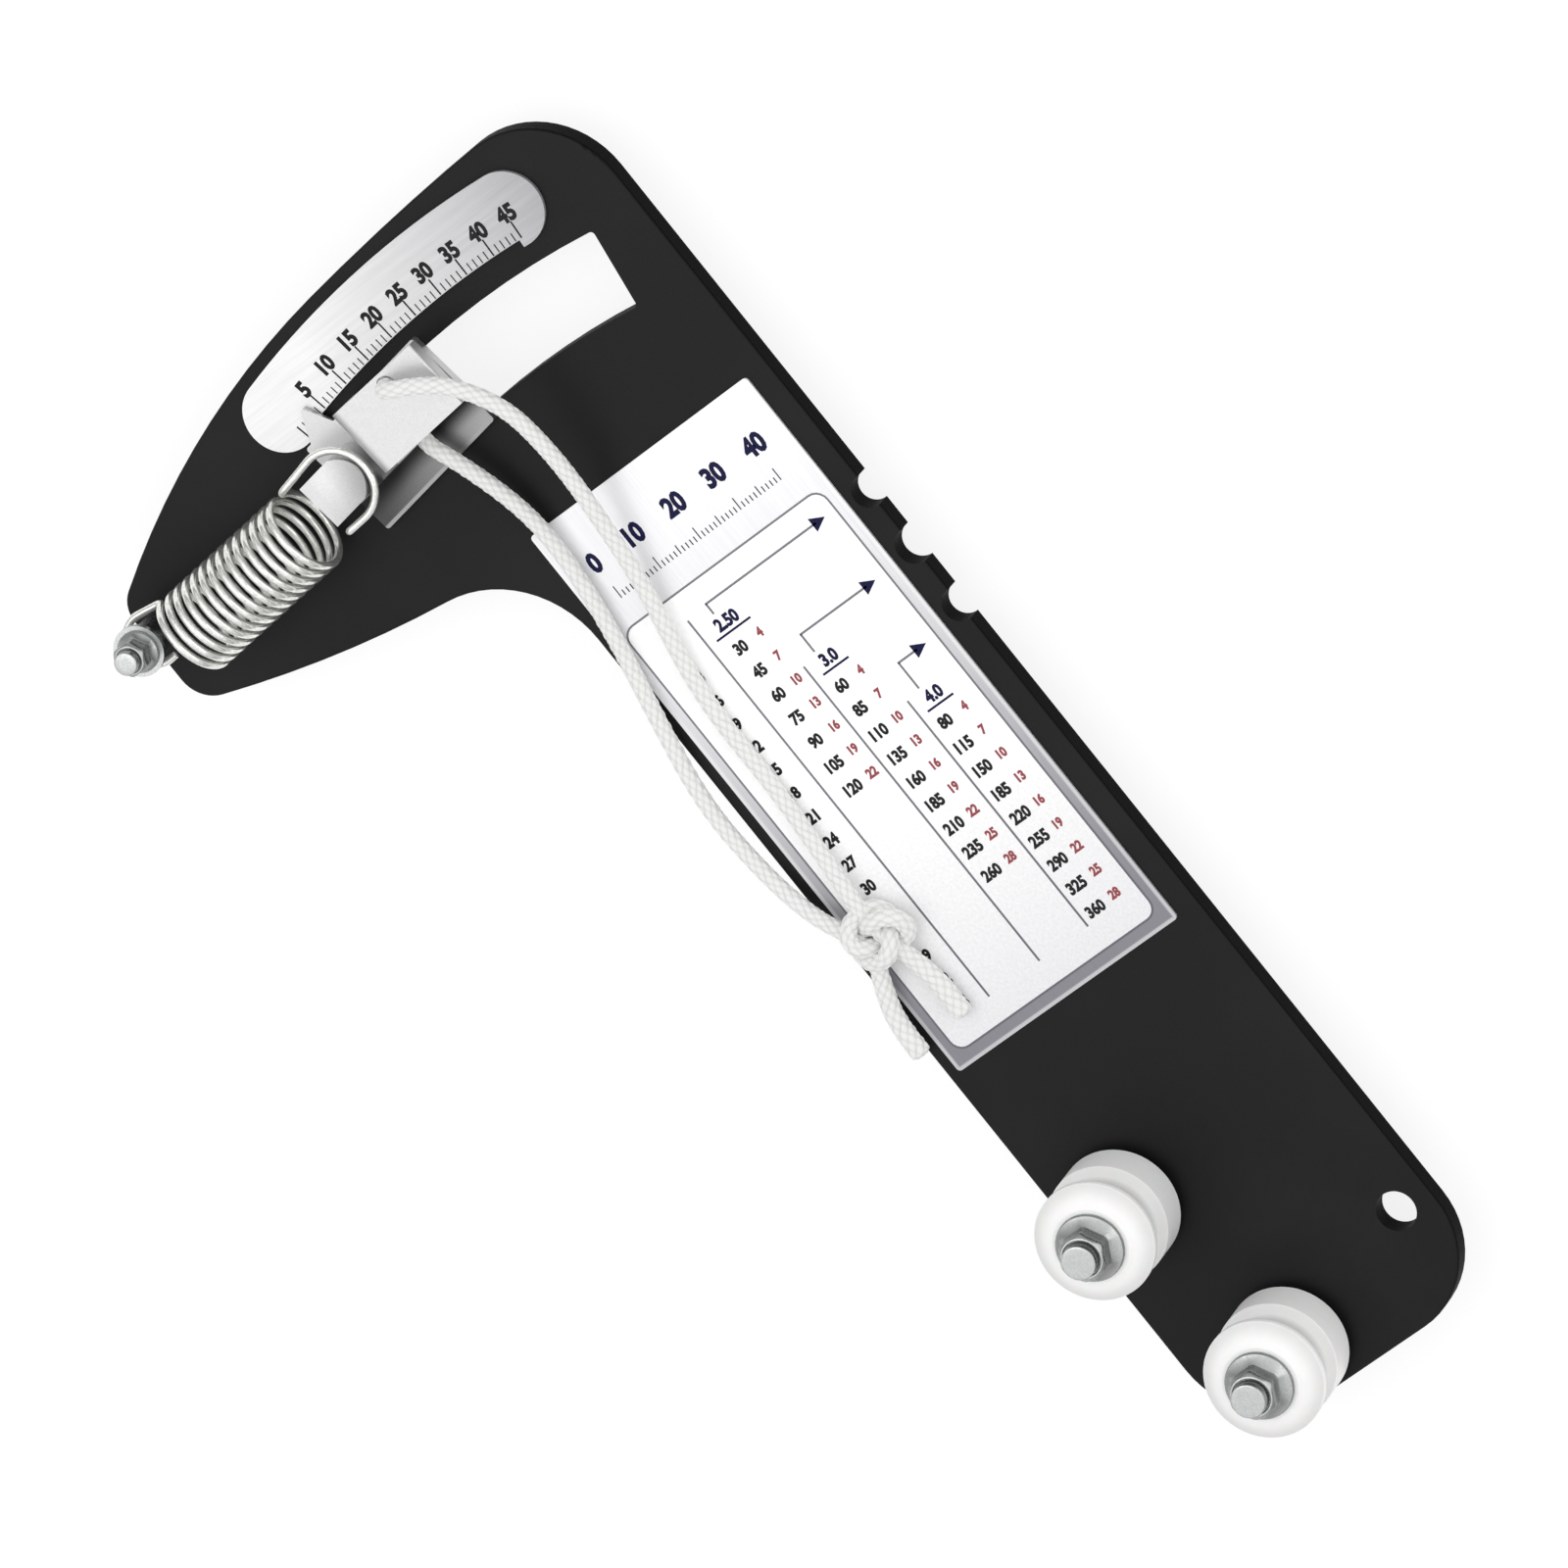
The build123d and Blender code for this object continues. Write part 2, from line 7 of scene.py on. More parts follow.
import json
from math import acos, asin, atan2, cos, hypot, pi, radians, sin, tan

import bpy
import numpy as np
from mathutils import Euler, Matrix, Vector


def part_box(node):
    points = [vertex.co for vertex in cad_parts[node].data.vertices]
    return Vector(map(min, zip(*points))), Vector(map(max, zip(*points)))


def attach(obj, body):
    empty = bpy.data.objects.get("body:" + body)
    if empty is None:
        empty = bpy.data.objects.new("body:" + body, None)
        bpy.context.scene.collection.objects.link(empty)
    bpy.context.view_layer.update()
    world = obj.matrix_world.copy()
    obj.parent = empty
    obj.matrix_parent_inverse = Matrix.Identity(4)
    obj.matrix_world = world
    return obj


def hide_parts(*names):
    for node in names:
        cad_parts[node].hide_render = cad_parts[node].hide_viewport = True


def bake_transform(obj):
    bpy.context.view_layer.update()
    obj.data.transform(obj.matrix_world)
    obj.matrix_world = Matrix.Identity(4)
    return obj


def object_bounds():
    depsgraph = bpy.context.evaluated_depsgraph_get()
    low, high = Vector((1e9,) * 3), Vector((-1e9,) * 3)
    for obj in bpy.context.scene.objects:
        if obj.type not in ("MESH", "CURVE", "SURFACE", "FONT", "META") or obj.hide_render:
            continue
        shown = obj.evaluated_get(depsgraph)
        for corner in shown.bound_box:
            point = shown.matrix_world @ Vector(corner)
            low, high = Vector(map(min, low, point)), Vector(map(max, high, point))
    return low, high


bl_info = {
    "name": "Rigging Tension Gauge",
    "version": (1, 0, 0),
    "blender": (4, 5, 0),
    "location": "3D View > Sidebar > Gauge",
    "description": "Finishes, prints and soft pieces of a rigging tension gauge, with its studio",
    "category": "Add Mesh",
}

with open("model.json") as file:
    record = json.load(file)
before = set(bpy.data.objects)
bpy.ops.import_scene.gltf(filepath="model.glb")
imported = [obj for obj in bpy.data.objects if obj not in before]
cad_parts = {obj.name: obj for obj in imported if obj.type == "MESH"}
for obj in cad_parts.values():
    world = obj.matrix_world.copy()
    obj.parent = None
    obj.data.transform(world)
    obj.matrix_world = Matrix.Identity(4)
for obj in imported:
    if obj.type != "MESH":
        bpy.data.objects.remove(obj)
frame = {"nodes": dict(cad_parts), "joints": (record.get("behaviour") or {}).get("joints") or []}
cad_low, cad_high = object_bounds()

MM = 0.001
UP = np.array([0.0, 0.0, 1.0])
nodes = frame["nodes"]
label_low, label_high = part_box("calibration_plate")
scale_low, scale_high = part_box("scale_plate")
slider_joint = next(joint for joint in frame["joints"] if joint["name"] == "slider_travel")
arc_centre = np.array(slider_joint["pos_m"][:2])


def turned(place, turn):
    """A place in plan, turned about the origin."""
    x, y = place
    return np.array([x * cos(turn) - y * sin(turn), x * sin(turn) + y * cos(turn)])


# The slider at rest: its angle on the slot's arc, and the bracket's small skew about the slider's own origin
slider_angle = radians(9.31)
bracket_turn = radians(-1.3)
slot_radius = 170.0 * MM
slider_origin = arc_centre + turned((-slot_radius, 0.0), slider_angle)
# The spring's post, from the slider's origin
post_place = np.array([-1.1, -12.05]) * MM
# The middle of the rollers' groove above the plate's front face
groove_height = 14.25 * MM
# How far a film of ink stands out
film = 0.03 * MM


# Settings that a user would change

def length(name, description, millimetres):
    """A size setting, given here in millimetres and held in metres."""
    return bpy.props.FloatProperty(name=name, description=description, default=millimetres * MM,
                                   unit="LENGTH", precision=5)


def angle(name, description, degrees):
    """An angle setting, given here in degrees and held in radians."""
    return bpy.props.FloatProperty(name=name, description=description, default=radians(degrees),
                                   unit="ROTATION")


def number(name, description, value):
    """A plain number setting."""
    return bpy.props.FloatProperty(name=name, description=description, default=value)


def count(name, description, value):
    """A whole number setting."""
    return bpy.props.IntProperty(name=name, description=description, default=value)


def shade(name, description, code):
    """A colour setting from its sRGB hex code."""
    return bpy.props.FloatVectorProperty(name=name, description=description, subtype="COLOR", size=4,
                                         min=0, max=1, default=linear(code))


def linear(code):
    """sRGB hex code to linear RGBA: below 0.04045 a channel is divided by 12.92, above it is a 2.4 power."""
    channels = [int(code[i:i + 2], 16) / 255 for i in (1, 3, 5)]
    return tuple(c / 12.92 if c <= 0.04045 else ((c + 0.055) / 1.055) ** 2.4 for c in channels) + (1.0,)


class GaugeFinishes(bpy.types.PropertyGroup):
    """Colours of the gauge's metals, plastics and inks."""
    plate: shade("Plate", "Black anodised body plate", "#101011")
    plate_worn: shade("Plate wear", "Paler tone where the anodising has rubbed thin", "#19191B")
    # Painted shade: the plate's upright cut edges and walls are drawn in this deeper black
    plate_edge: shade("Plate's cut edge", "Cut edge of the body plate", "#09090A")
    scale_pale: shade("Scale, low end", "Scale plate at its low figures", "#EEEEEE")
    scale_deep: shade("Scale, high end", "Scale plate at its high figures", "#A8A8AB")
    label_pale: shade("Label, head end", "Calibration plate's lacquer under the heading", "#F8F8FA")
    # Painted reflection: the grey that the label runs to at its foot
    label_deep: shade("Label, foot end", "Calibration plate's bare border at its foot", "#86858C")
    nylon: shade("Nylon", "Turned rollers and the guide block", "#FBFBFA")
    nylon_cloud: shade("Nylon cloud", "Faint cloudiness in the nylon", "#F8F8F7")
    # Painted shade in the rollers' groove and at the rims of their faces
    nylon_groove: shade("Nylon groove", "Nylon greyed by the wires in the groove", "#BEBEBC")
    zinc: shade("Zinc", "Bolts, nuts, washers and screws", "#CFD1D0")
    zinc_dull: shade("Zinc bloom", "Where the zinc has dulled", "#BDBFBE")
    # Painted shade on the fasteners' flats, cones and sides
    zinc_flat: shade("Zinc on flats", "Flats, cones and sides, which nothing rubs bright", "#8E9190")
    bronze: shade("Bronze", "Bushes in the rollers", "#A8794A")
    bronze_pores: shade("Bronze pores", "Oil filled pores of the bushes", "#7C5431")
    bracket: shade("Bracket", "Satin aluminium slider bracket", "#D6D6D6")
    # Painted shade: the post's cap darkens to this at its round crest
    crest: shade("Post's crest", "Round crest of the bent post", "#A4A4A4")
    # Painted shadow and shade on the foot's top beside the wire hook: dark at the hook, paler outwards and
    # towards the far end
    foot_hook: shade("Foot, hook side", "Milled top of the foot beside the wire hook", "#323232")
    foot_near: shade("Foot, post end", "Milled top of the foot at the post's end", "#545454")
    foot_far: shade("Foot, far end", "Milled top of the foot at its other end", "#A2A2A2")
    # Painted highlight along the foot's outer edge
    foot_edge: shade("Foot's edge", "Broken outer edge of the foot", "#A2A2A2")
    wire: shade("Spring wire", "Bright drawn spring steel", "#F6F6F3")
    wire_oiled: shade("Oiled wire", "Spring wire under a trace of oil", "#DEDEDA")
    cord: shade("Cord", "Braided polyester", "#EDEDEC")
    groove: shade("Cord groove", "Between the cord's strands, where dust and shade lie", "#D3D3D0")
    black_ink: shade("Black ink", "Ticks, figures and table values", "#1C1C1E")
    navy_ink: shade("Navy ink", "Heads of columns and arrowheads", "#10103A")
    red_ink: shade("Red ink", "Second figures of the table", "#94484D")
    grey_ink: shade("Grey ink", "Rules and outlines", "#7A7A80")
    # Painted shade: the grey and white inks are drawn darker at the calibration plate's foot
    grey_foot: shade("Grey ink at the foot", "The field's outline at the plate's foot", "#66666E")
    white_ink: shade("White ink", "Field under the table", "#FFFFFF")
    white_foot: shade("White ink at the foot", "The field at its foot, where the metal greys it", "#E2E2E4")


class GaugeScalePrint(bpy.types.PropertyGroup):
    """The ticks and figures on the curved scale plate."""
    zero_angle: angle("Zero", "Angle of the zero tick from the -X direction", -13.64)
    unit_angle: angle("Unit", "Angle of one unit of the scale", 0.4143)
    top_value: count("Top value", "Last unit on the scale", 45)
    tick_radius: length("Tick radius", "Radius at which the ticks start", 183.15)
    unit_tick: length("Unit tick", "Length of each unit's tick", 1.7)
    five_tick: length("Five tick", "Length of every fifth tick", 3.5)
    zero_tick: length("Zero tick", "Length of the tick at zero", 3.0)
    zero_drop: length("Zero drop", "How much nearer to the centre the tick at zero starts", 1.1)
    figure_radius: length("Figure radius", "Radius at the middle of the figures", 188.3)
    figure_height: length("Figure height", "Height of the scale's figures", 3.4)


class GaugeTablePrint(bpy.types.PropertyGroup):
    """The printed table on the calibration plate. Places run along the plate from its head end."""
    field_top: length("Field top", "Where the white field starts along the plate", 24.0)
    field_foot: length("Field foot", "Where the white field ends along the plate", 121.0)
    field_margin: length("Field margin", "Border left at each side of the white field", 2.6)
    first_row: length("First row", "Place of the first row along the plate", 38.5)
    row_step: length("Row step", "Distance from row to row", 5.4)
    rows: count("Rows", "Rows of the table's first column", 15)
    figure_height: length("Figure height", "Height of the table's black figures", 2.5)
    head_height: length("Head height", "Height of the figures that head a column", 2.7)
    ruler_height: length("Ruler figures", "Height of the ruler's figures in the heading", 4.2)


class GaugeSpring(bpy.types.PropertyGroup):
    """The tension spring's wire, coil and two long hooks."""
    wire: length("Wire", "Wire diameter", 1.5)
    coil_radius: length("Coil radius", "Radius to the middle of the wire", 7.7)
    spacing: length("Spacing", "Distance from turn to turn at rest", 2.32)
    axis_height: length("Axis height", "Height of the coil's axis above the plate", 9.5)
    anchor_leg: length("Anchor leg", "From the anchor to the coil", 7.6)
    post_leg: length("Post leg", "From the coil to the post", 10.2)
    anchor_shift: length("Anchor shift", "Coil's offset from the line of pull at the anchor", 4.3)
    post_shift: length("Post shift", "Coil's offset from the line of pull at the post", 1.8)
    anchor_hook: length("Anchor hook", "Radius of the anchor's hook", 5.0)
    post_hook: length("Post hook", "Radius of the post's hook", 7.2)
    bend: length("Bend", "Radius where the coil turns into a hook", 1.5)
    anchor_tail: length("Anchor tail", "Straight end of the anchor's hook", 1.5)
    post_tail: length("Post tail", "Straight end of the post's hook", 4.6)


class GaugeLanyard(bpy.types.PropertyGroup):
    """The braided cord and its knot."""
    diameter: length("Diameter", "Cord diameter", 3.1)
    carriers: count("Carriers", "Strands that wind each way round the braid", 6)
    plait: length("Plait", "Length along the cord of one strand crossing", 1.25)
    relief: number("Relief", "Depth of the grooves as a share of the radius", 0.2)
    knot_swell: number("Knot swell", "Thickness of the cord in the knot against its own", 1.08)
    knot_length: length("Knot length", "Knot's outside along the handle", 13.0)
    knot_width: length("Knot width", "Knot's outside across the handle", 15.2)
    knot_rise: length("Knot rise", "How far its cord rises and falls from its middle", 1.9)
    knot_shift: length("Knot shift", "Knot's place towards the notched edge from the middle", 0.9)
    knot_turn: angle("Knot turn", "Where its first lobe lies", 72.0)
    tail_length: length("Tail length", "Length of cord past the knot that lies flattened", 22.0)
    tail_spread: number("Tail spread", "Width of a flattened tail's end against the cord's", 1.35)


class GaugeStage(bpy.types.PropertyGroup):
    """Camera and light."""
    azimuth: angle("Azimuth", "Where the camera stands round the gauge", 191.28)
    elevation: angle("Elevation", "Height of the camera above the horizon", 61.6)
    roll: angle("Roll", "Turn of the camera about its own axis", -138.72)
    aim_x: length("Aim along", "Middle of the view on the plate, along the handle", -127.2)
    aim_y: length("Aim across", "Middle of the view on the plate, across the handle", -42.6)
    width: length("View width", "Width of the view where it crosses the plate", 282.2)
    distance: length("Distance", "From the camera to the plate", 2500.0)
    ambient: number("Ambient", "Level of the light from all round", 0.84)
    key_power: number("Key power", "Power of the key lamp in watts", 1.2)
    fill_power: number("Fill power", "Power of the fill lamp in watts, over the notched edge", 1.3)
    lamp_size: length("Lamp size", "Width of each lamp", 800.0)
    horizon: number("Horizon", "Level that metal mirrors from low down, against 1 overhead", 0.25)
    floor: shade("Floor", "Pale floor", "#E6E6E6")


# Shaders

def node(tree, kind, inputs=None, **settings):
    """Adds a shader node. Settings are its own values. Inputs go by name, or in a list by the node's order:
    MapRange takes a value, the low and high ends of its range and what they turn to, which is 0 and 1 where
    it isn't said, and MixRGB a share, the colour at 0 and the colour at 1. Each input is a value, an output
    that it joins, or a node whose first output it joins."""
    made = tree.nodes.new("ShaderNode" + kind)
    for name, value in settings.items():
        setattr(made, name, value)
    if not isinstance(inputs, dict):
        inputs = dict(enumerate(inputs or []))
    for socket, value in inputs.items():
        if isinstance(value, bpy.types.Node):
            value = value.outputs[0]
        if isinstance(value, bpy.types.NodeSocket):
            tree.links.new(value, made.inputs[socket])
        else:
            made.inputs[socket].default_value = value
    return made


def per(size):
    """Scale of a pattern whose features are that many millimetres apart."""
    return 1 / (size * MM)


def new_finish(name, metallic=0.0, specular=0.5):
    """An empty finish: returns its material, node tree, shader and the piece's own place in metres."""
    material = bpy.data.materials.new(name)
    material.use_nodes = True
    tree = material.node_tree
    shader = tree.nodes["Principled BSDF"]
    shader.inputs["Metallic"].default_value = metallic
    shader.inputs["Specular IOR Level"].default_value = specular
    place = node(tree, "TexCoord").outputs["Object"]
    return material, tree, shader, place


def grain(tree, place, size, detail=3.0, stretch=(1.0, 1.0, 1.0)):
    """Soft noise of that size in millimetres, stretched along each axis. Blast grain, brush lines, crystals,
    pores and yarn are about 0.1 mm or less on the real pieces, and are drawn a few times coarser to show."""
    mapped = node(tree, "Mapping", {"Vector": place, "Scale": stretch})
    return node(tree, "TexNoise", {"Vector": mapped, "Scale": per(size), "Detail": detail})


def surfaced(tree, shader, pattern, first, second, rough, depth):
    """Ties a finish to its pattern of 0 to 1, which noise fills from about 0.3 to 0.7: over that span the
    colour runs from the first to the second and the roughness from low to high, and the pattern stands out
    by that depth in millimetres. The second colour may be a number, the first one's brightness there."""
    if isinstance(second, float):
        second = node(tree, "HueSaturation", {"Color": first, "Value": second})
    share = node(tree, "MapRange", [pattern, 0.3, 0.7])
    made = {"Base Color": node(tree, "MixRGB", [share, first, second]),
            "Roughness": node(tree, "MapRange", [share, 0.0, 1.0, *rough]),
            "Normal": node(tree, "Bump", {"Height": pattern, "Distance": depth * MM})}
    for socket, source in made.items():
        tree.links.new(source.outputs[0], shader.inputs[socket])


def lying_level(tree, slope, flat):
    """1 where a face lies level in its piece, 0 where it stands: by the upright part of the way it faces."""
    facing = node(tree, "TexCoord").outputs["Normal"]
    upright = node(tree, "SeparateXYZ", [facing]).outputs["Z"]
    level = node(tree, "Math", [upright], operation="ABSOLUTE")
    return node(tree, "MapRange", [level, slope, flat])


def black_anodised_aluminium(colours):
    """Blasted and anodised sheet: even and near black, a fine matt grain, softly paler where it has rubbed.
    The upright cut edges and walls carry painted shade: deeper black, and they hardly shine."""
    face_shine, edge_shine = 0.2, 0.02
    rub_start, rub_full = 0.45, 0.75
    material, tree, shader, place = new_finish("black_anodised_aluminium", specular=face_shine)
    rubbed = node(tree, "MapRange", [grain(tree, place, size=38.0, detail=5.0), rub_start, rub_full])
    face = node(tree, "MixRGB", [rubbed, colours.plate, colours.plate_worn])
    # Painted shade: faces that stand upright, the cut edges and the walls of the hole and notches, are
    # darkened and shine less
    level = lying_level(tree, slope=0.3, flat=0.9)
    base = node(tree, "MixRGB", [level, colours.plate_edge, face])
    shine = node(tree, "MapRange", [level, 0.0, 1.0, edge_shine, face_shine])
    tree.links.new(shine.outputs[0], shader.inputs["Specular IOR Level"])
    surfaced(tree, shader, grain(tree, place, size=0.35), base, base, rough=(0.42, 0.56), depth=0.012)
    return material


def silver_anodised_scale(colours):
    """Clear anodised sheet, brushed along its length: pale at the low end and greyer at the high end."""
    pale_run = 18.0 * MM
    material, tree, shader, place = new_finish("silver_anodised_scale", metallic=0.35)
    along = node(tree, "SeparateXYZ", [place]).outputs["Y"]
    share = node(tree, "MapRange", [along, scale_low.y + pale_run, scale_high.y])
    base = node(tree, "MixRGB", [share, colours.scale_pale, colours.scale_deep])
    streaks = grain(tree, place, size=0.5, detail=2.0, stretch=(1.0, 0.03, 1.0))
    surfaced(tree, shader, streaks, base, second=0.94, rough=(0.28, 0.4), depth=0.006)
    return material


def lacquered_label_aluminium(colours):
    """Thin label sheet: white lacquer at the head, greyed towards the foot by a painted reflection, with a
    paler rim where its edge is cut."""
    rim_full, rim_end, rim_share = 0.55 * MM, 0.85 * MM, 0.45
    material, tree, shader, place = new_finish("lacquered_label_aluminium", metallic=0.25)
    along = node(tree, "SeparateXYZ", [place]).outputs["X"]
    # Painted reflection: the label greys from its head to its foot
    share = node(tree, "MapRange", [along, label_low.x, label_high.x], interpolation_type="SMOOTHSTEP")
    base = node(tree, "MixRGB", [share, colours.label_pale, colours.label_deep])
    # The rim: how far a place lies inside the sheet's outline, by the nearer of its two pairs of edges
    centre, half = (label_low + label_high) / 2, (label_high - label_low) / 2
    off = node(tree, "VectorMath", [place, centre], operation="SUBTRACT")
    off = node(tree, "VectorMath", [off], operation="ABSOLUTE")
    inside = node(tree, "VectorMath", [half, off], operation="SUBTRACT")
    inset = node(tree, "SeparateXYZ", [inside]).outputs
    inset = node(tree, "Math", [inset["X"], inset["Y"]], operation="MINIMUM")
    rim = node(tree, "MapRange", [inset, rim_end, rim_full, 0.0, rim_share])
    base = node(tree, "MixRGB", [rim, base, colours.label_pale])
    streaks = grain(tree, place, size=0.4, detail=2.0, stretch=(0.03, 1.0, 1.0))
    surfaced(tree, shader, streaks, base, second=0.95, rough=(0.3, 0.42), depth=0.005)
    return material


def screen_ink(name, colour, foot):
    """Screen printed enamel ink: a flat film with a slight edge, thinner in places. Down the lower half of
    the calibration plate it turns to its second colour, a painted shade."""
    material, tree, shader, place = new_finish(name, specular=0.15)
    along = node(tree, "SeparateXYZ", [place]).outputs["X"]
    # Painted shade: the ink turns darker down the lower half of the plate
    share = node(tree, "MapRange", [along, (label_low.x + label_high.x) / 2, label_high.x])
    base = node(tree, "MixRGB", [share, colour, foot])
    patches = grain(tree, place, size=0.6, detail=4.0)
    surfaced(tree, shader, patches, base, second=1.1, rough=(0.4, 0.5), depth=0.003)
    return material


def turned_nylon(name, colours, centre, reach):
    """White nylon bar turned on a lathe: a milky, slightly waxy gloss with fine rings about its own axis, and
    painted shade that greys it in its groove and towards the rim of its faces, which lies at that reach."""
    # The groove's painted shade is full that far above and below its middle, and ends that far
    groove_full, groove_end = 1.6 * MM, 3.2 * MM
    rim_shade_width, rim_shade_share = 3.5 * MM, 0.5
    material, tree, shader, place = new_finish(name, specular=0.4)
    shader.inputs["Subsurface Weight"].default_value = 0.12
    shader.inputs["Subsurface Scale"].default_value = 1.2 * MM
    moved = node(tree, "VectorMath", [place, (*centre, groove_height)], operation="SUBTRACT")
    level = node(tree, "SeparateXYZ", [moved]).outputs["Z"]
    flat = node(tree, "VectorMath", [moved, (1.0, 1.0, 0.0)], operation="MULTIPLY")
    radius = node(tree, "VectorMath", [flat], operation="LENGTH").outputs["Value"]
    off_groove = node(tree, "Math", [level], operation="ABSOLUTE")
    in_groove = node(tree, "MapRange", [off_groove, groove_end, groove_full])
    at_rim = node(tree, "MapRange", [radius, reach - rim_shade_width, reach, 0.0, rim_shade_share],
                  interpolation_type="SMOOTHSTEP")
    on_face = lying_level(tree, slope=0.3, flat=0.9)
    at_rim = node(tree, "Math", [at_rim, on_face], operation="MULTIPLY")
    # Painted shade: grey in the groove and towards the rim of each face
    groove_and_rim_shade = node(tree, "Math", [in_groove, at_rim], operation="MAXIMUM")
    milky = node(tree, "MixRGB", [groove_and_rim_shade, colours.nylon, colours.nylon_groove])
    cloudy = node(tree, "MixRGB", [groove_and_rim_shade, colours.nylon_cloud, colours.nylon_groove])
    surfaced(tree, shader, grain(tree, place, size=3.0), milky, cloudy, rough=(0.32, 0.44), depth=0.0)
    # Rings a feed apart, both across the face and along the rim. The tool's feed is drawn coarser than its
    # real 0.1 mm so that it shows
    feed, ring_depth = 0.35, 0.003 * MM
    across = node(tree, "Math", [radius, level], operation="ADD")
    phase = node(tree, "Math", [across, 2 * pi * per(feed)], operation="MULTIPLY")
    wave = node(tree, "Math", [phase], operation="SINE")
    bump = node(tree, "Bump", {"Height": wave, "Distance": ring_depth})
    tree.links.new(bump.outputs[0], shader.inputs["Normal"])
    return material


def zinc_plated_steel(colours):
    """Forged steel, bright zinc plated: a cool grey mirror with a fine crystal bloom. The faces that lie
    level keep the plain zinc, and the flats, cones and sides are darkened by painted shade."""
    material, tree, shader, place = new_finish("zinc_plated_steel", metallic=1.0)
    # Painted shade: faces that stand or slope are drawn darker than those that lie level
    level = lying_level(tree, slope=0.6, flat=0.92)
    bright = node(tree, "MixRGB", [level, colours.zinc_flat, colours.zinc])
    dull = node(tree, "MixRGB", [level, colours.zinc_flat, colours.zinc_dull])
    bloom = grain(tree, place, size=0.45, detail=4.0)
    surfaced(tree, shader, bloom, bright, dull, rough=(0.22, 0.36), depth=0.008)
    return material


def sintered_bronze(colours):
    """Sintered bronze bush: warm, matt and finely porous."""
    material, tree, shader, place = new_finish("sintered_bronze", metallic=1.0)
    pores = grain(tree, place, size=0.2, detail=4.0)
    surfaced(tree, shader, pores, colours.bronze, colours.bronze_pores, rough=(0.42, 0.6), depth=0.02)
    return material


def satin_aluminium(colours):
    """Tumbled aluminium bar: pale satin grey that mirrors softly. The post's cap carries a painted shade that
    deepens towards its round crest. The foot's top beside the wire hook carries a painted shadow, dark at the
    hook and paler outwards and towards its far end, and a painted highlight along its outer edge."""
    # Places on the bracket in millimetres, from the slider's origin: x towards the handle, y away from the
    # post. Each mask fades in over its soft edge
    cap_edge, cap_soft = -4.4, 0.2
    crest_before, crest_past = 3.0, 6.5
    foot_top, top_soft = 2.2, 0.4
    hook_side, side_soft = 3.8, 0.3
    foot_half = 14.0
    shade_start, shade_end = 4.2, 8.2
    highlight_start, highlight_end = 9.7, 9.9
    material, tree, shader, place = new_finish("satin_aluminium", metallic=1.0)
    own = node(tree, "Mapping", {"Vector": place, "Location": (*slider_origin, 0.0),
                                 "Rotation": (0.0, 0.0, slider_angle + bracket_turn)},
               vector_type="TEXTURE")
    own = node(tree, "VectorMath", {0: own, "Scale": 1 / MM}, operation="SCALE")
    x, y, z = node(tree, "SeparateXYZ", [own]).outputs
    # The post's cap: its painted shade deepens slantwise over it, from before the post's centre to past it
    slant_way = np.array([0.7, 0.7])
    centre = float((post_place / MM) @ slant_way)
    slant = node(tree, "VectorMath", [own, (*slant_way, 0.0)], operation="DOT_PRODUCT").outputs["Value"]
    on_cap = node(tree, "MapRange", [y, cap_edge, cap_edge - cap_soft])
    crest = node(tree, "MapRange", [slant, centre - crest_before, centre + crest_past],
                 interpolation_type="SMOOTHSTEP")
    crest = node(tree, "Math", [crest, on_cap], operation="MULTIPLY")
    upper = node(tree, "MixRGB", [crest, colours.bracket, colours.crest])
    # The foot's top, low down and outside the wire hook's side, carries a painted shadow: dark at the hook,
    # paler outwards and towards its far end
    low = node(tree, "MapRange", [z, foot_top + top_soft, foot_top])
    beside = node(tree, "MapRange", [x, hook_side - side_soft, hook_side])
    foot_shade_mask = node(tree, "Math", [low, beside], operation="MULTIPLY")
    along = node(tree, "MapRange", [y, -foot_half, foot_half])
    outward = node(tree, "MapRange", [x, shade_start, shade_end], interpolation_type="SMOOTHSTEP")
    # Painted highlight: a bright line along the foot's outer edge
    edge = node(tree, "MapRange", [x, highlight_start, highlight_end])
    foot = node(tree, "MixRGB", [along, colours.foot_near, colours.foot_far])
    foot = node(tree, "MixRGB", [outward, colours.foot_hook, foot])
    foot = node(tree, "MixRGB", [edge, foot, colours.foot_edge])
    base = node(tree, "MixRGB", [foot_shade_mask, upper, foot])
    satin = grain(tree, place, size=0.3, detail=4.0)
    surfaced(tree, shader, satin, base, second=0.93, rough=(0.38, 0.52), depth=0.008)
    return material


def drawn_spring_steel(colours):
    """Drawn spring wire: a bright hard shine with faint die lines and a trace of oil."""
    material, tree, shader, place = new_finish("drawn_spring_steel", metallic=0.85)
    oil = grain(tree, place, size=0.5)
    surfaced(tree, shader, oil, colours.wire, colours.wire_oiled, rough=(0.14, 0.24), depth=0.004)
    return material


def braided_polyester(colours):
    """Plaited polyester yarn: white and matt with a soft sheen, greyer in the grooves, fuzzy close up."""
    groove_floor, strand_top = 0.1, 0.75
    material, tree, shader, place = new_finish("braided_polyester", specular=0.25)
    shader.inputs["Sheen Weight"].default_value = 0.25
    shader.inputs["Sheen Roughness"].default_value = 0.5
    height = node(tree, "Attribute", attribute_name="braid_height").outputs["Fac"]
    raised = node(tree, "MapRange", [height, groove_floor, strand_top])
    base = node(tree, "MixRGB", [raised, colours.groove, colours.cord])
    yarn = grain(tree, place, size=0.12, detail=2.0)
    surfaced(tree, shader, yarn, base, base, rough=(0.66, 0.8), depth=0.03)
    return material


# Meshes

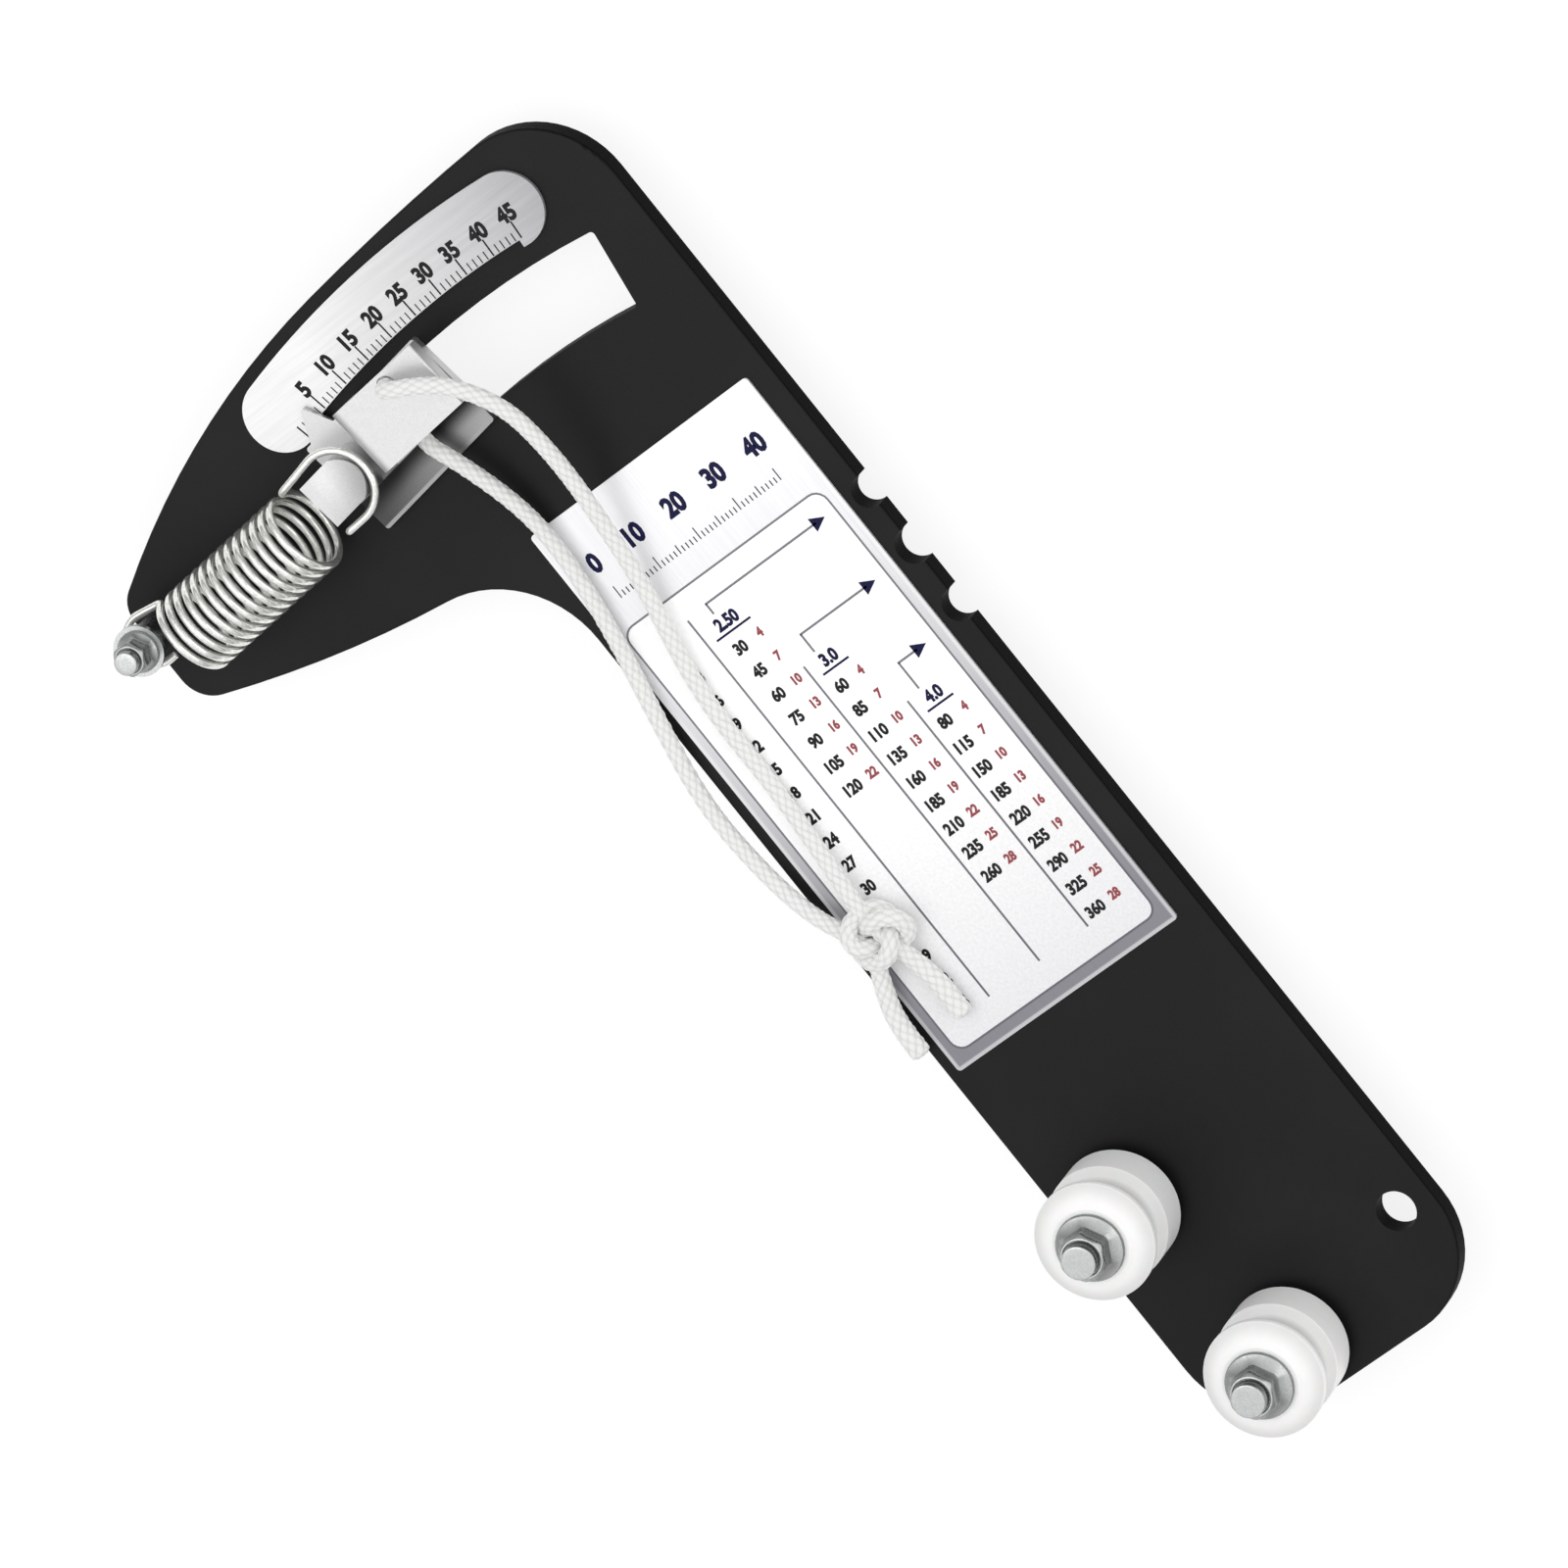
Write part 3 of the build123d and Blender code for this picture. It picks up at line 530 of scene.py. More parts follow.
def mesh_piece(name, points, faces, material, body, smooth=True):
    """A finished piece at the origin from points in metres and lists of corner numbers."""
    mesh = bpy.data.meshes.new(name)
    mesh.from_pydata(points.tolist(), [], faces)
    mesh.validate()
    mesh.materials.append(material)
    piece = bpy.data.objects.new(name, mesh)
    bpy.context.scene.collection.objects.link(piece)
    if smooth:
        mesh.shade_smooth()
    if body:
        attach(piece, body)
    return piece


def mesh_of(curve):
    """Points and faces of a curve or a text, which is then removed."""
    carrier = bpy.data.objects.new(curve.name, curve)
    mesh = bpy.data.meshes.new_from_object(carrier)
    points = np.empty(len(mesh.vertices) * 3)
    mesh.vertices.foreach_get("co", points)
    faces = [list(face.vertices) for face in mesh.polygons]
    bpy.data.objects.remove(carrier)
    bpy.data.curves.remove(curve)
    bpy.data.meshes.remove(mesh)
    return points.reshape(-1, 3), faces


def directions(sides):
    """Angles of that many even steps round a circle."""
    return 2 * pi * np.arange(sides) / sides


def ring_faces(rows, sides, closed=False):
    """Quads between rows of points that each close round, and with closed from the last row to the first."""
    row = np.arange(rows if closed else rows - 1)[:, None] * sides
    col = np.arange(sides)[None, :]
    after = (col + 1) % sides
    following = (row + sides) % (rows * sides)
    quads = np.stack([row + col, row + after, following + after, following + col], -1)
    return quads.reshape(-1, 4).tolist()


def capped(points, faces, sides, first, last):
    """Closes the two open ends of a tube of rows with a fan to one point each."""
    total = len(points)
    col = np.arange(sides)
    after = (col + 1) % sides
    top = total - sides
    start = np.stack([np.full(sides, total), after, col], -1)
    end = np.stack([np.full(sides, total + 1), top + col, top + after], -1)
    return np.vstack([points, [first, last]]), faces + start.tolist() + end.tolist()


def tube(centres, reference, radii, sides, surface=None, spread=None):
    """Round section carried along a line. At each centre the section lies across the line's direction, its
    first corner along the reference direction less what of it runs with the line. Corner k of ring i stands
    at centre i + radius i * (cos(2 pi k / sides) * across + sin(2 pi k / sides) * over). A surface array of
    the same rings and sides multiplies the radius, and a spread for each ring widens it across."""
    along = np.gradient(centres, axis=0)
    along /= np.linalg.norm(along, axis=1, keepdims=True)
    across = reference - (reference * along).sum(1, keepdims=True) * along
    across /= np.linalg.norm(across, axis=1, keepdims=True)
    over = np.cross(along, across)
    turn = directions(sides)
    reach = np.broadcast_to(np.asarray(radii)[:, None], (len(centres), sides))
    if surface is not None:
        reach = reach * surface
    if spread is not None:
        across = across * spread[:, None]
    ring = np.cos(turn)[None, :, None] * across[:, None] + np.sin(turn)[None, :, None] * over[:, None]
    points = centres[:, None] + reach[..., None] * ring
    return points.reshape(-1, 3), ring_faces(len(centres), sides)


def lathe(profile, sides, centre, closed=False):
    """Rings about Z through a centre. Each entry of the profile is (radius, height), and either may be an
    array with one value for each direction round the axis."""
    turn = directions(sides)
    rings = []
    for radius, height in profile:
        x = centre[0] + radius * np.cos(turn)
        y = centre[1] + radius * np.sin(turn)
        rings.append(np.stack([x, y, np.broadcast_to(height, (sides,))], -1))
    return np.concatenate(rings), ring_faces(len(profile), sides, closed)


def middle(name):
    """Centre of a node in plan, and its lowest and highest level."""
    low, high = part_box(name)
    return ((low.x + high.x) / 2, (low.y + high.y) / 2), low.z, high.z


# Fasteners

fastener_sides = 96


def hexagon_reach(turn, flats):
    """Radius of a hexagon with that distance over flats in each direction: half of it over the cosine of
    the angle from the nearest flat's middle, its corners eased a little."""
    corner_ease = 0.04
    off = (turn + pi / 6) % (pi / 3) - pi / 6
    return flats / 2 * np.minimum(1 / np.cos(off), 1 / cos(pi / 6) * (1 - corner_ease))


def thread(shank, pitch, start, finish, turn, steps):
    """Rings of a screw thread between two levels, so many for each pitch: the radius falls by 0.61 of the
    pitch in a sharp wave whose phase turns once round the shank for each pitch, its crest and root a little
    flat, and runs out over the last turn at the start."""
    deep, sharp, flat = 0.61, 1.15, 0.05
    levels = np.linspace(start, finish, max(2, round(abs(finish - start) / pitch * steps)))
    rings = []
    for level in levels:
        phase = (level / pitch - turn / (2 * pi)) % 1
        depth = deep * pitch * np.clip(np.abs(2 * phase - 1) * sharp - flat, 0, 1)
        fade = np.clip(abs(level - start) / pitch, 0, 1)
        rings.append((shank - depth * fade, level))
    return rings


def flange_bolt(name, material, shank, pitch, flats, head, flange, flange_thick, boss):
    """Hex flange bolt, cold headed, its sizes in metres: a round flat boss stands out of the hexagon from a
    narrow groove, the hexagon's corners are chamfered, the flange is coned with a rolled rim, and the shank
    has a rolled thread where it comes out of the plate's back. Each edge is eased over a few rings."""
    centre, foot, crown = middle(name)
    turn = directions(fastener_sides)
    ease = 0.12 * MM
    seat = crown - head
    # The boss, its groove and the flat ring round it
    step = crown - 0.26 * head
    groove_width, groove_floor = boss * 0.075, step - boss * 0.15
    groove = boss + groove_width
    ring_edge = flats / 2 * 0.96
    profile = [(boss * 0.5, crown), (boss * 0.88, crown - ease * 0.1),
               (boss - ease * 1.5, crown - ease * 0.3), (boss - ease * 0.5, crown - ease),
               (boss, crown - ease * 2), (boss, step), (boss, groove_floor),
               (boss + groove_width * 0.9, groove_floor), (groove, step - ease * 0.5),
               (groove + ease, step), (ring_edge - ease, step), (ring_edge, step - ease)]
    # The hexagon down from its chamfer, and the flange's cone and rim
    chamfer_slope = tan(radians(38))
    hexagon = hexagon_reach(turn, flats)
    chamfer = step - ease - (hexagon - ring_edge) * chamfer_slope
    side_top = chamfer - ease * 0.7
    cone_top = seat + flange_thick + 0.4 * MM
    profile += [(hexagon - ease, chamfer + ease * 0.7), (hexagon, side_top)]
    profile += [(hexagon, cone_top + (side_top - cone_top) * share) for share in (0.66, 0.33)]
    profile += [(hexagon + ease * 0.2, cone_top + ease), (hexagon + ease, cone_top)]
    profile += [(flange - ease * 2, seat + flange_thick * 0.56),
                (flange - ease * 0.6, seat + flange_thick * 0.5), (flange, seat + flange_thick * 0.36),
                (flange, seat + ease), (flange - ease, seat), (shank + ease, seat), (shank, seat - ease)]
    # The thread from below the plate's front down to the shank's blunt tip
    thread_start = -3.0 * MM
    tip_edge, tip = shank * 0.78, shank * 0.7
    profile += thread(shank, pitch, thread_start, foot + pitch * 0.5, turn, steps=10)
    profile += [(tip_edge, foot + ease), (tip, foot)]
    points, faces = lathe(profile, fastener_sides, centre)
    points, faces = capped(points, faces, fastener_sides, [*centre, crown], [*centre, foot])
    piece = mesh_piece(name + "_threaded", points, [face[::-1] for face in faces], material, "frame")
    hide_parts(name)


def hex_nut(name, material, bore, pitch, flats):
    """Hex nut, its sizes in metres: both faces chamfered to a circle, the bore countersunk at each end and
    threaded between."""
    centre, low, high = middle(name)
    turn = directions(fastener_sides)
    hexagon = hexagon_reach(turn, flats)
    ease = 0.1 * MM
    circle = flats / 2 * 0.97
    drop = (hexagon - circle) * tan(radians(30))
    sink = bore * 1.1
    run_in = 0.4 * MM
    profile = [(sink, high), (circle, high), (hexagon - ease, high - drop + ease * 0.5),
               (hexagon, high - drop - ease)]
    profile += [(hexagon, high + (low - high) * share) for share in (0.4, 0.6)]
    profile += [(hexagon, low + drop + ease), (hexagon - ease, low + drop - ease * 0.5), (circle, low),
                (sink, low)]
    profile += thread(bore + 0.3 * pitch, pitch, low + run_in, high - run_in, turn, steps=8)
    points, faces = lathe(profile, fastener_sides, centre, closed=True)
    piece = mesh_piece(name + "_chamfered", points, [face[::-1] for face in faces], material, "frame")
    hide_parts(name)


# Printing

def prism(outline, low, high):
    """Closed slab over a convex outline in plan."""
    flat = np.asarray(outline, float)
    corners = len(flat)
    points = np.vstack([np.column_stack([flat, np.full(corners, level)]) for level in (low, high)])
    ring = list(range(corners))
    walls = [[i, (i + 1) % corners, corners + (i + 1) % corners, corners + i] for i in ring]
    return points, [ring[::-1], [corners + i for i in ring]] + walls


def joined(parts):
    """Several (points, faces) as one."""
    counts = np.cumsum([0] + [len(points) for points, faces in parts])
    faces = [[corner + int(shift) for corner in face]
             for shift, (points, part) in zip(counts, parts) for face in part]
    return np.vstack([points for points, part in parts]), faces


figure_shapes = {}


def figure_shape(text):
    """Points and faces of a line of figures one unit high, centred, as a slab one unit thick."""
    if text not in figure_shapes:
        curve = bpy.data.curves.new("figures", "FONT")
        curve.body = text
        curve.align_x = "CENTER"
        curve.extrude = 0.5
        # Ink spreads a little as it is printed, so the figures are bolder than the typeface's own
        curve.offset = 0.05
        curve.resolution_u = 3
        points, faces = mesh_of(curve)
        low, high = points.min(0), points.max(0)
        tall = high[1] - low[1]
        points = (points - [(low[0] + high[0]) / 2, (low[1] + high[1]) / 2, 0]) / [tall, tall, 1]
        figure_shapes[text] = (points, faces)
    return figure_shapes[text]


def figures(text, at, reading, height, low, high, narrow=0.88):
    """A line of figures laid flat: reading is the direction in plan that it reads along, and narrow their
    width against the typeface's own."""
    points, faces = figure_shape(text)
    reading = np.asarray(reading, float)
    upward = np.array([-reading[1], reading[0]])
    plan = np.asarray(at) + height * (points[:, :1] * narrow * reading + points[:, 1:2] * upward)
    level = (low + high) / 2 + points[:, 2:] * (high - low)
    return np.hstack([plan, level]), faces


def stroke(first, last, width, low, high):
    """Straight ruled line between two points in plan."""
    first, last = np.asarray(first, float), np.asarray(last, float)
    along = (last - first) / np.linalg.norm(last - first)
    side = np.array([-along[1], along[0]]) * width / 2
    return prism([first - side, last - side, last + side, first + side], low, high)


def rounded_box(low_corner, high_corner, radius, steps=6):
    """Outline of a box in plan with round corners, each a quarter circle."""
    (left, near), (right, far) = np.add(low_corner, radius), np.subtract(high_corner, radius)
    turn = np.linspace(0, pi / 2, steps)
    corners = []
    for quarter, (x, y) in enumerate([(right, far), (left, far), (left, near), (right, near)]):
        heading = turn + quarter * pi / 2
        corners.append(np.column_stack([x + radius * np.cos(heading), y + radius * np.sin(heading)]))
    return np.concatenate(corners)


def outline_band(outer, inner, low, high):
    """Closed frame between two outlines of as many points."""
    levels = [(outer, low), (outer, high), (inner, high), (inner, low)]
    points = np.concatenate([np.column_stack([line, np.full(len(line), level)]) for line, level in levels])
    return points, ring_faces(4, len(outer), closed=True)


def on_arc(radius, turn):
    """Point in plan about the slot's arc centre, turned from the -X direction towards +Y."""
    return arc_centre + radius * np.array([-cos(turn), sin(turn)])


def scale_print(settings, material):
    """Ticks that point at the arc's centre, every fifth longer, and figures that stand on the arc."""
    level = (scale_high.z - film / 3, scale_high.z + film)
    five_pen, unit_pen = 0.32 * MM, 0.22 * MM
    parts = []
    for value in range(settings.top_value + 1):
        turn = settings.zero_angle + settings.unit_angle * value
        start, reach, pen = settings.tick_radius, settings.unit_tick, unit_pen
        if value % 5 == 0:
            reach, pen = settings.five_tick, five_pen
        if value == 0:
            start, reach = start - settings.zero_drop, settings.zero_tick
        parts.append(stroke(on_arc(start, turn), on_arc(start + reach, turn), pen, *level))
        if value and value % 5 == 0:
            parts.append(figures(str(value), on_arc(settings.figure_radius, turn), (sin(turn), cos(turn)),
                                 settings.figure_height, *level))
    points, faces = joined(parts)
    mesh_piece("scale_figures", points, faces, material, "frame", smooth=False)


def on_label(along, across):
    """Point in plan from millimetres along and across the calibration plate, from its head left corner."""
    return (label_low.x + along * MM, label_low.y + across * MM)


# The columns under the arrowed heads, in millimetres: the column's place across the plate, its rule's place
# across and start along, its head's place along, its arrow's place along, its first row and number of rows,
# the figures of its head, its first value and the rise from row to row
columns = [(19.5, 14.5, 29.0, 33.0, 28.5, 0, 7, "2.50", 30, 15),
           (30.6, 27.0, 48.0, 49.2, 43.0, 3, 9, "3.0", 60, 25),
           (42.4, 39.0, 64.0, 65.6, 57.5, 6, 9, "4.0", 80, 35)]


def table_print(settings, inks):
    """White field with a grey outline, and on it plain columns of figures under three arrowed heads, with a
    plain ruler in the heading. Places are in millimetres along and across the plate."""
    base = label_high.z
    field_level = (base - film, base + film)
    level = (base + film, base + 2 * film)
    top, foot, margin = settings.field_top / MM, settings.field_foot / MM, settings.field_margin / MM
    first_row, row_step = settings.first_row / MM, settings.row_step / MM
    wide = (label_high.y - label_low.y) / MM
    corner, line, pen = 2.4, 0.4, 0.42

    def rule(first, last, width=pen, level=level):
        """A ruled line between two places on the plate."""
        return stroke(on_label(*first), on_label(*last), width * MM, *level)

    def value(text, along, across, height=settings.figure_height, level=level, **shape):
        """Figures that read across the plate."""
        return figures(str(text), on_label(along, across), (0.0, 1.0), height, *level, **shape)

    field = rounded_box(on_label(top, margin), on_label(foot, wide - margin), corner * MM)
    outer = rounded_box(on_label(top - line, margin - line), on_label(foot + line, wide - margin + line),
                        (corner + line) * MM)
    outline_top = base + film * 0.8
    grey = [outline_band(outer, field, base - film, outline_top)]
    black, navy, red = [], [], []
    # An arrowhead points at each notch in the plate's edge, and a leader runs to it from the column's head
    rule_foot, arrow_at = 116.0, 49.2
    arrow_half, arrow_long, leader_gap = 1.45, 3.0, 2.2
    underline_drop, underline_half = 2.1, 1.05
    long_head_shift, head_shift = 1.2, 1.6
    # The red figures stand beside the black ones, a little smaller
    red_across, red_along, red_size, red_first, red_rise = 4.9, -0.3, 0.8, 4, 3
    for across, rule_at, rule_top, head_at, leader, first, rows, head, start, rise in columns:
        head_across = across + (long_head_shift if len(head) > 3 else head_shift)
        half = underline_half * len(head)
        underline = head_at + underline_drop
        grey += [rule((rule_top, rule_at), (rule_foot, rule_at)),
                 rule((head_at - leader_gap, across), (leader, across)),
                 rule((leader, across - pen / 2), (leader, arrow_at - leader_gap))]
        navy += [value(head, head_at, head_across, settings.head_height),
                 rule((underline, head_across - half), (underline, head_across + half)),
                 prism([on_label(leader + arrow_half, arrow_at - arrow_long), on_label(leader, arrow_at),
                        on_label(leader - arrow_half, arrow_at - arrow_long)], *level)]
        for index in range(rows):
            along = first_row + row_step * (first + index)
            black.append(value(start + rise * index, along, across))
            red.append(value(red_first + red_rise * index, along + red_along, across + red_across,
                             settings.figure_height * red_size))
    # The first column counts up in threes
    first_across, first_rise = 9.3, 3
    for index in range(settings.rows):
        black.append(value(first_rise * (index + 1), first_row + row_step * index, first_across))
    # A plain ruler in millimetres stands in the heading
    ruler_start, ruler_at, ruler_run, ruler_figures = 7.0, 18.6, 40, 10.6
    ruler_pen, ten_tick, five_tick, unit_tick = 0.22, 2.6, 1.9, 1.2
    for tick in range(ruler_run + 1):
        reach = ten_tick if tick % 10 == 0 else five_tick if tick % 5 == 0 else unit_tick
        across = ruler_start + tick
        black.append(rule((ruler_at, across), (ruler_at - reach, across), ruler_pen, field_level))
    for tick in range(0, ruler_run + 1, 10):
        navy.append(value(tick, ruler_figures, ruler_start + tick, settings.ruler_height, field_level,
                          narrow=0.86))
    pieces = {"table_field": ([prism(field, *field_level)], "white_ink"), "table_rules": (grey, "grey_ink"),
              "table_values": (black, "black_ink"), "table_heads": (navy, "navy_ink"),
              "table_marks": (red, "red_ink")}
    for name, (parts, ink) in pieces.items():
        points, faces = joined(parts)
        mesh_piece(name, points, faces, inks[ink], "frame", smooth=False)


# Spring

def hook_line(side, start, heading, centre, radius, tail, bend_radius):
    """One hook of the spring, outwards from the coil, and the directions out of its bend, in the spring's own
    axes: a short bend, a parabola round a corner, then a straight leg that touches a circle, the circle over
    its crest to the far side, and a straight tail. The side is -1 at the anchor and 1 at the post."""
    bend_steps, leg_steps, arc_steps, tail_steps = 9, 12, 48, 10
    flat = np.array([1.0, 0.0, 1.0])
    centre = centre * flat
    corner = (start + heading / np.linalg.norm(heading) * bend_radius) * flat
    away = corner - centre
    touch = atan2(away[2], away[0]) + side * acos(radius / hypot(away[0], away[2]))
    leg_end = centre + radius * np.array([cos(touch), 0, sin(touch)])
    leg_way = (leg_end - corner) / np.linalg.norm(leg_end - corner)
    leg_start = corner + leg_way * bend_radius
    share = np.linspace(0, 1, bend_steps)[1:, None]
    bend = (1 - share) ** 2 * start + 2 * share * (1 - share) * corner + share ** 2 * leg_start
    leg = leg_start + (leg_end - leg_start) * np.linspace(0, 1, leg_steps)[1:, None]
    sweep = np.linspace(touch, side * pi, arc_steps)[1:]
    arc_out = np.column_stack([np.cos(sweep), 0 * sweep, np.sin(sweep)])
    far = centre - [radius, 0.0, 0.0]
    straight = far + np.linspace(0, 1, tail_steps)[1:, None] * np.array([0, 0, -side * tail])
    leg_out = np.tile([1.0, 0.0, 0.0], (len(bend) + len(leg), 1))
    far_out = np.tile([-1.0, 0.0, 0.0], (len(straight), 1))
    return np.vstack([bend, leg, centre + radius * arc_out, straight]), np.vstack([leg_out, arc_out, far_out])


def spring_line(settings):
    """The wire's centre line in the gauge's frame, a direction out of its bend at each point, each point's
    share of the stretch, and the two ends of the coil on its axis. In the spring's own axes z runs along the
    coil, x to the straight legs and y is up. The coil is a right handed helix: radius times cosine and sine
    of its angle, rising one pitch each turn."""
    steps_each_turn = 60
    # Radius of the anchor's spacer and of the post where the hooks pull on them, and the play there
    anchor_seat, post_seat, play = 3.5 * MM, 5.6 * MM, 0.1 * MM
    anchor = np.array([*middle("anchor_spacer")[0], settings.axis_height])
    post_at = slider_origin + turned(post_place, slider_angle + bracket_turn)
    post = np.array([*post_at, settings.axis_height])
    pull = (post - anchor) / np.linalg.norm(post - anchor)
    beside = np.cross(pull, UP)
    foot = anchor + beside * settings.anchor_shift
    line = post + beside * settings.post_shift - foot
    reach = np.linalg.norm(line)
    axis = line / reach
    to_frame = np.column_stack([np.cross(UP, axis), UP, axis])
    coil_length = reach - settings.anchor_leg - settings.post_leg
    turns = round(coil_length / settings.spacing)
    lift = asin(settings.bend / settings.coil_radius)
    turn = np.linspace(lift, 2 * pi * turns - lift, turns * steps_each_turn)
    rise = settings.anchor_leg + coil_length / turns * turn / (2 * pi)
    coil_out = np.column_stack([np.cos(turn), np.sin(turn), 0 * turn])
    coil = np.column_stack([settings.coil_radius * coil_out[:, :2], rise])
    # Each hook's circle pulls on the far side of its seat
    wire = settings.wire / 2
    anchor_loop = anchor + pull * (settings.anchor_hook - wire - anchor_seat - play)
    post_loop = post - pull * (settings.post_hook - wire - post_seat - play)
    anchor_hook, anchor_out = hook_line(-1, coil[0], coil[0] - coil[1], (anchor_loop - foot) @ to_frame,
                                        settings.anchor_hook, settings.anchor_tail, settings.bend)
    post_hook, post_out = hook_line(1, coil[-1], coil[-1] - coil[-2], (post_loop - foot) @ to_frame,
                                    settings.post_hook, settings.post_tail, settings.bend)
    local = np.vstack([anchor_hook[::-1], coil, post_hook])
    out = np.vstack([anchor_out[::-1], coil_out, post_out])
    share = np.concatenate([np.zeros(len(anchor_hook)), np.linspace(0, 1, len(coil)),
                            np.ones(len(post_hook))])
    start, end = foot + axis * settings.anchor_leg, foot + axis * (reach - settings.post_leg)
    return foot + local @ to_frame.T, out @ to_frame.T, share, start, end


def coil_spring(settings, material):
    """Wire carried along the spring's line, its cut ends chamfered."""
    sides, cut_end = 16, 0.8
    centres, out, share, start, end = spring_line(settings)
    radii = np.full(len(centres), settings.wire / 2)
    radii[[0, -1]] *= cut_end
    points, faces = tube(centres, out, radii, sides)
    points, faces = capped(points, faces, sides, centres[0], centres[-1])
    piece = mesh_piece("tension_spring_wire", points, faces, material, None)
    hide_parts("tension_spring")
    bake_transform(piece)


# Lanyard: the routes' points are in millimetres

upper_route = [(-228.4, -48.3, 11.7), (-228.4, -48.3, 15.2), (-227.8, -45.9, 17.6), (-225.8, -41.7, 17.0),
               (-221.9, -36.6, 15.5), (-212.8, -32.0, 13.0), (-202.0, -32.0, 10.2), (-190.3, -33.8, 7.2),
               (-170.8, -37.6, 3.8), (-155.0, -42.1, 2.5), (-142.2, -43.5, 2.3), (-128.4, -43.2, 2.35),
               (-113.1, -44.1, 2.8), (-99.5, -44.5, 4.6)]
lower_route = [(-228.4, -48.3, 11.7), (-228.4, -48.3, 8.3), (-226.2, -48.7, 6.1), (-221.8, -50.7, 5.8),
               (-216.1, -53.2, 6.0), (-209.5, -50.6, 5.2), (-198.3, -47.6, 3.8), (-189.1, -46.8, 2.8),
               (-176.9, -47.8, 2.3), (-162.7, -50.3, 2.4), (-150.9, -53.1, 2.3), (-132.8, -56.8, 2.35),
               (-116.5, -56.0, 2.4), (-104.9, -53.2, 3.3), (-98.0, -48.9, 4.4)]
first_tail_route = [(-93.0, -43.4, 4.4), (-86.3, -42.4, 2.8), (-80.3, -41.8, 2.3), (-74.3, -42.2, 2.4)]
second_tail_route = [(-93.4, -47.4, 4.4), (-86.3, -51.6, 2.9), (-79.8, -54.0, 2.35), (-72.7, -53.9, 2.4)]
# Each cord: its route, its real length in metres, and the CAD strand and tail that it replaces
cords = {"lanyard_first_cord": (upper_route + first_tail_route, 0.169, "lanyard_upper_strand",
                                "lanyard_first_tail"),
         "lanyard_second_cord": (lower_route + second_tail_route, 0.166, "lanyard_lower_strand",
                                 "lanyard_second_tail")}
# Sides of a cord's section for each carrier, and the height of the braid at which it has its own radius
sides_per_carrier = 6
mean_height = 0.7


def run_of(centres):
    """Distance along a line at each of its points."""
    return np.concatenate([[0], np.cumsum(np.linalg.norm(np.diff(centres, axis=0), axis=1))])


def smooth_line(route, spacing):
    """Evenly spaced points on the smooth curve that a route's points steer."""
    curve = bpy.data.curves.new("route", "CURVE")
    curve.dimensions = "3D"
    curve.resolution_u = 60
    spline = curve.splines.new("NURBS")
    spline.points.add(len(route) - 1)
    for point, place in zip(spline.points, route):
        point.co = (*(c * MM for c in place), 1.0)
    spline.order_u = 3
    spline.use_endpoint_u = True
    line, _ = mesh_of(curve)
    run = run_of(line)
    even = np.linspace(0, run[-1], round(run[-1] / spacing) + 1)
    return np.column_stack([np.interp(even, run, line[:, axis]) for axis in range(3)])


def braid(centres, settings):
    """Height from 0 to 1 of a two over, two under plait. Both ways of strands are numbered by their turn
    round the cord plus or minus their run along it. In each cell of the two numberings one way lies on top.
    Its hump is the square root of a half sine across the strand times one along it, which falls to the dip's
    share where the strand goes under the next."""
    dip = 0.45
    sides = sides_per_carrier * settings.carriers
    run = run_of(centres)[:, None] / (2 * settings.plait)
    around = np.arange(sides)[None, :] / sides * settings.carriers
    forth, back = around + run, around - run
    sine_forth, sine_back = np.sin(pi * (forth % 1)), np.sin(pi * (back % 1))
    forth_on_top = (np.floor(forth) + np.floor(back)) % 2 == 0
    hump_forth = np.sqrt(sine_forth) * (dip + (1 - dip) * sine_back)
    hump_back = np.sqrt(sine_back) * (dip + (1 - dip) * sine_forth)
    return np.where(forth_on_top, hump_forth, hump_back)


def store_braid(piece, height):
    """Keeps the braid's height on the mesh for its material."""
    attribute = piece.data.attributes.new("braid_height", "FLOAT", "POINT")
    attribute.data.foreach_set("value", height.astype(np.float32))


def braided_cord(name, centres, settings, material):
    """Cord tube whose surface rises and falls with the braid. Its tail widens evenly along its length as it
    lies flattened, and its cut end is melted to a low dome, a circle's arc that stops short of a point."""
    melt_share, melt_least, melt_height = 0.5, 0.3, 0.6
    height = braid(centres, settings)
    radius = settings.diameter / 2
    run = run_of(centres)
    left = run[-1] - run
    melt = np.clip(left / (radius * melt_share), 0, 1)
    radii = radius * np.sqrt(np.clip(1 - (1 - melt) ** 2, melt_least, 1))
    flat = np.clip(1 - left / settings.tail_length, 0, 1)
    # The section's first corner points off to one side at the exit and lies level at the tail
    share = (run / run[-1])[:, None]
    reference = (1 - share) * np.array([1.0, -1.0, 1.0]) + share * np.array([0.0, -1.0, 0.0])
    surface = 1 + settings.relief * (height - mean_height)
    sides = height.shape[1]
    points, faces = tube(centres, reference, radii, sides, surface, 1 + (settings.tail_spread - 1) * flat)
    points, faces = capped(points, faces, sides, centres[0], centres[-1])
    piece = mesh_piece(name, points, faces, material, "slider")
    store_braid(piece, np.concatenate([height.ravel(), [melt_height, melt_height]]))
    return piece


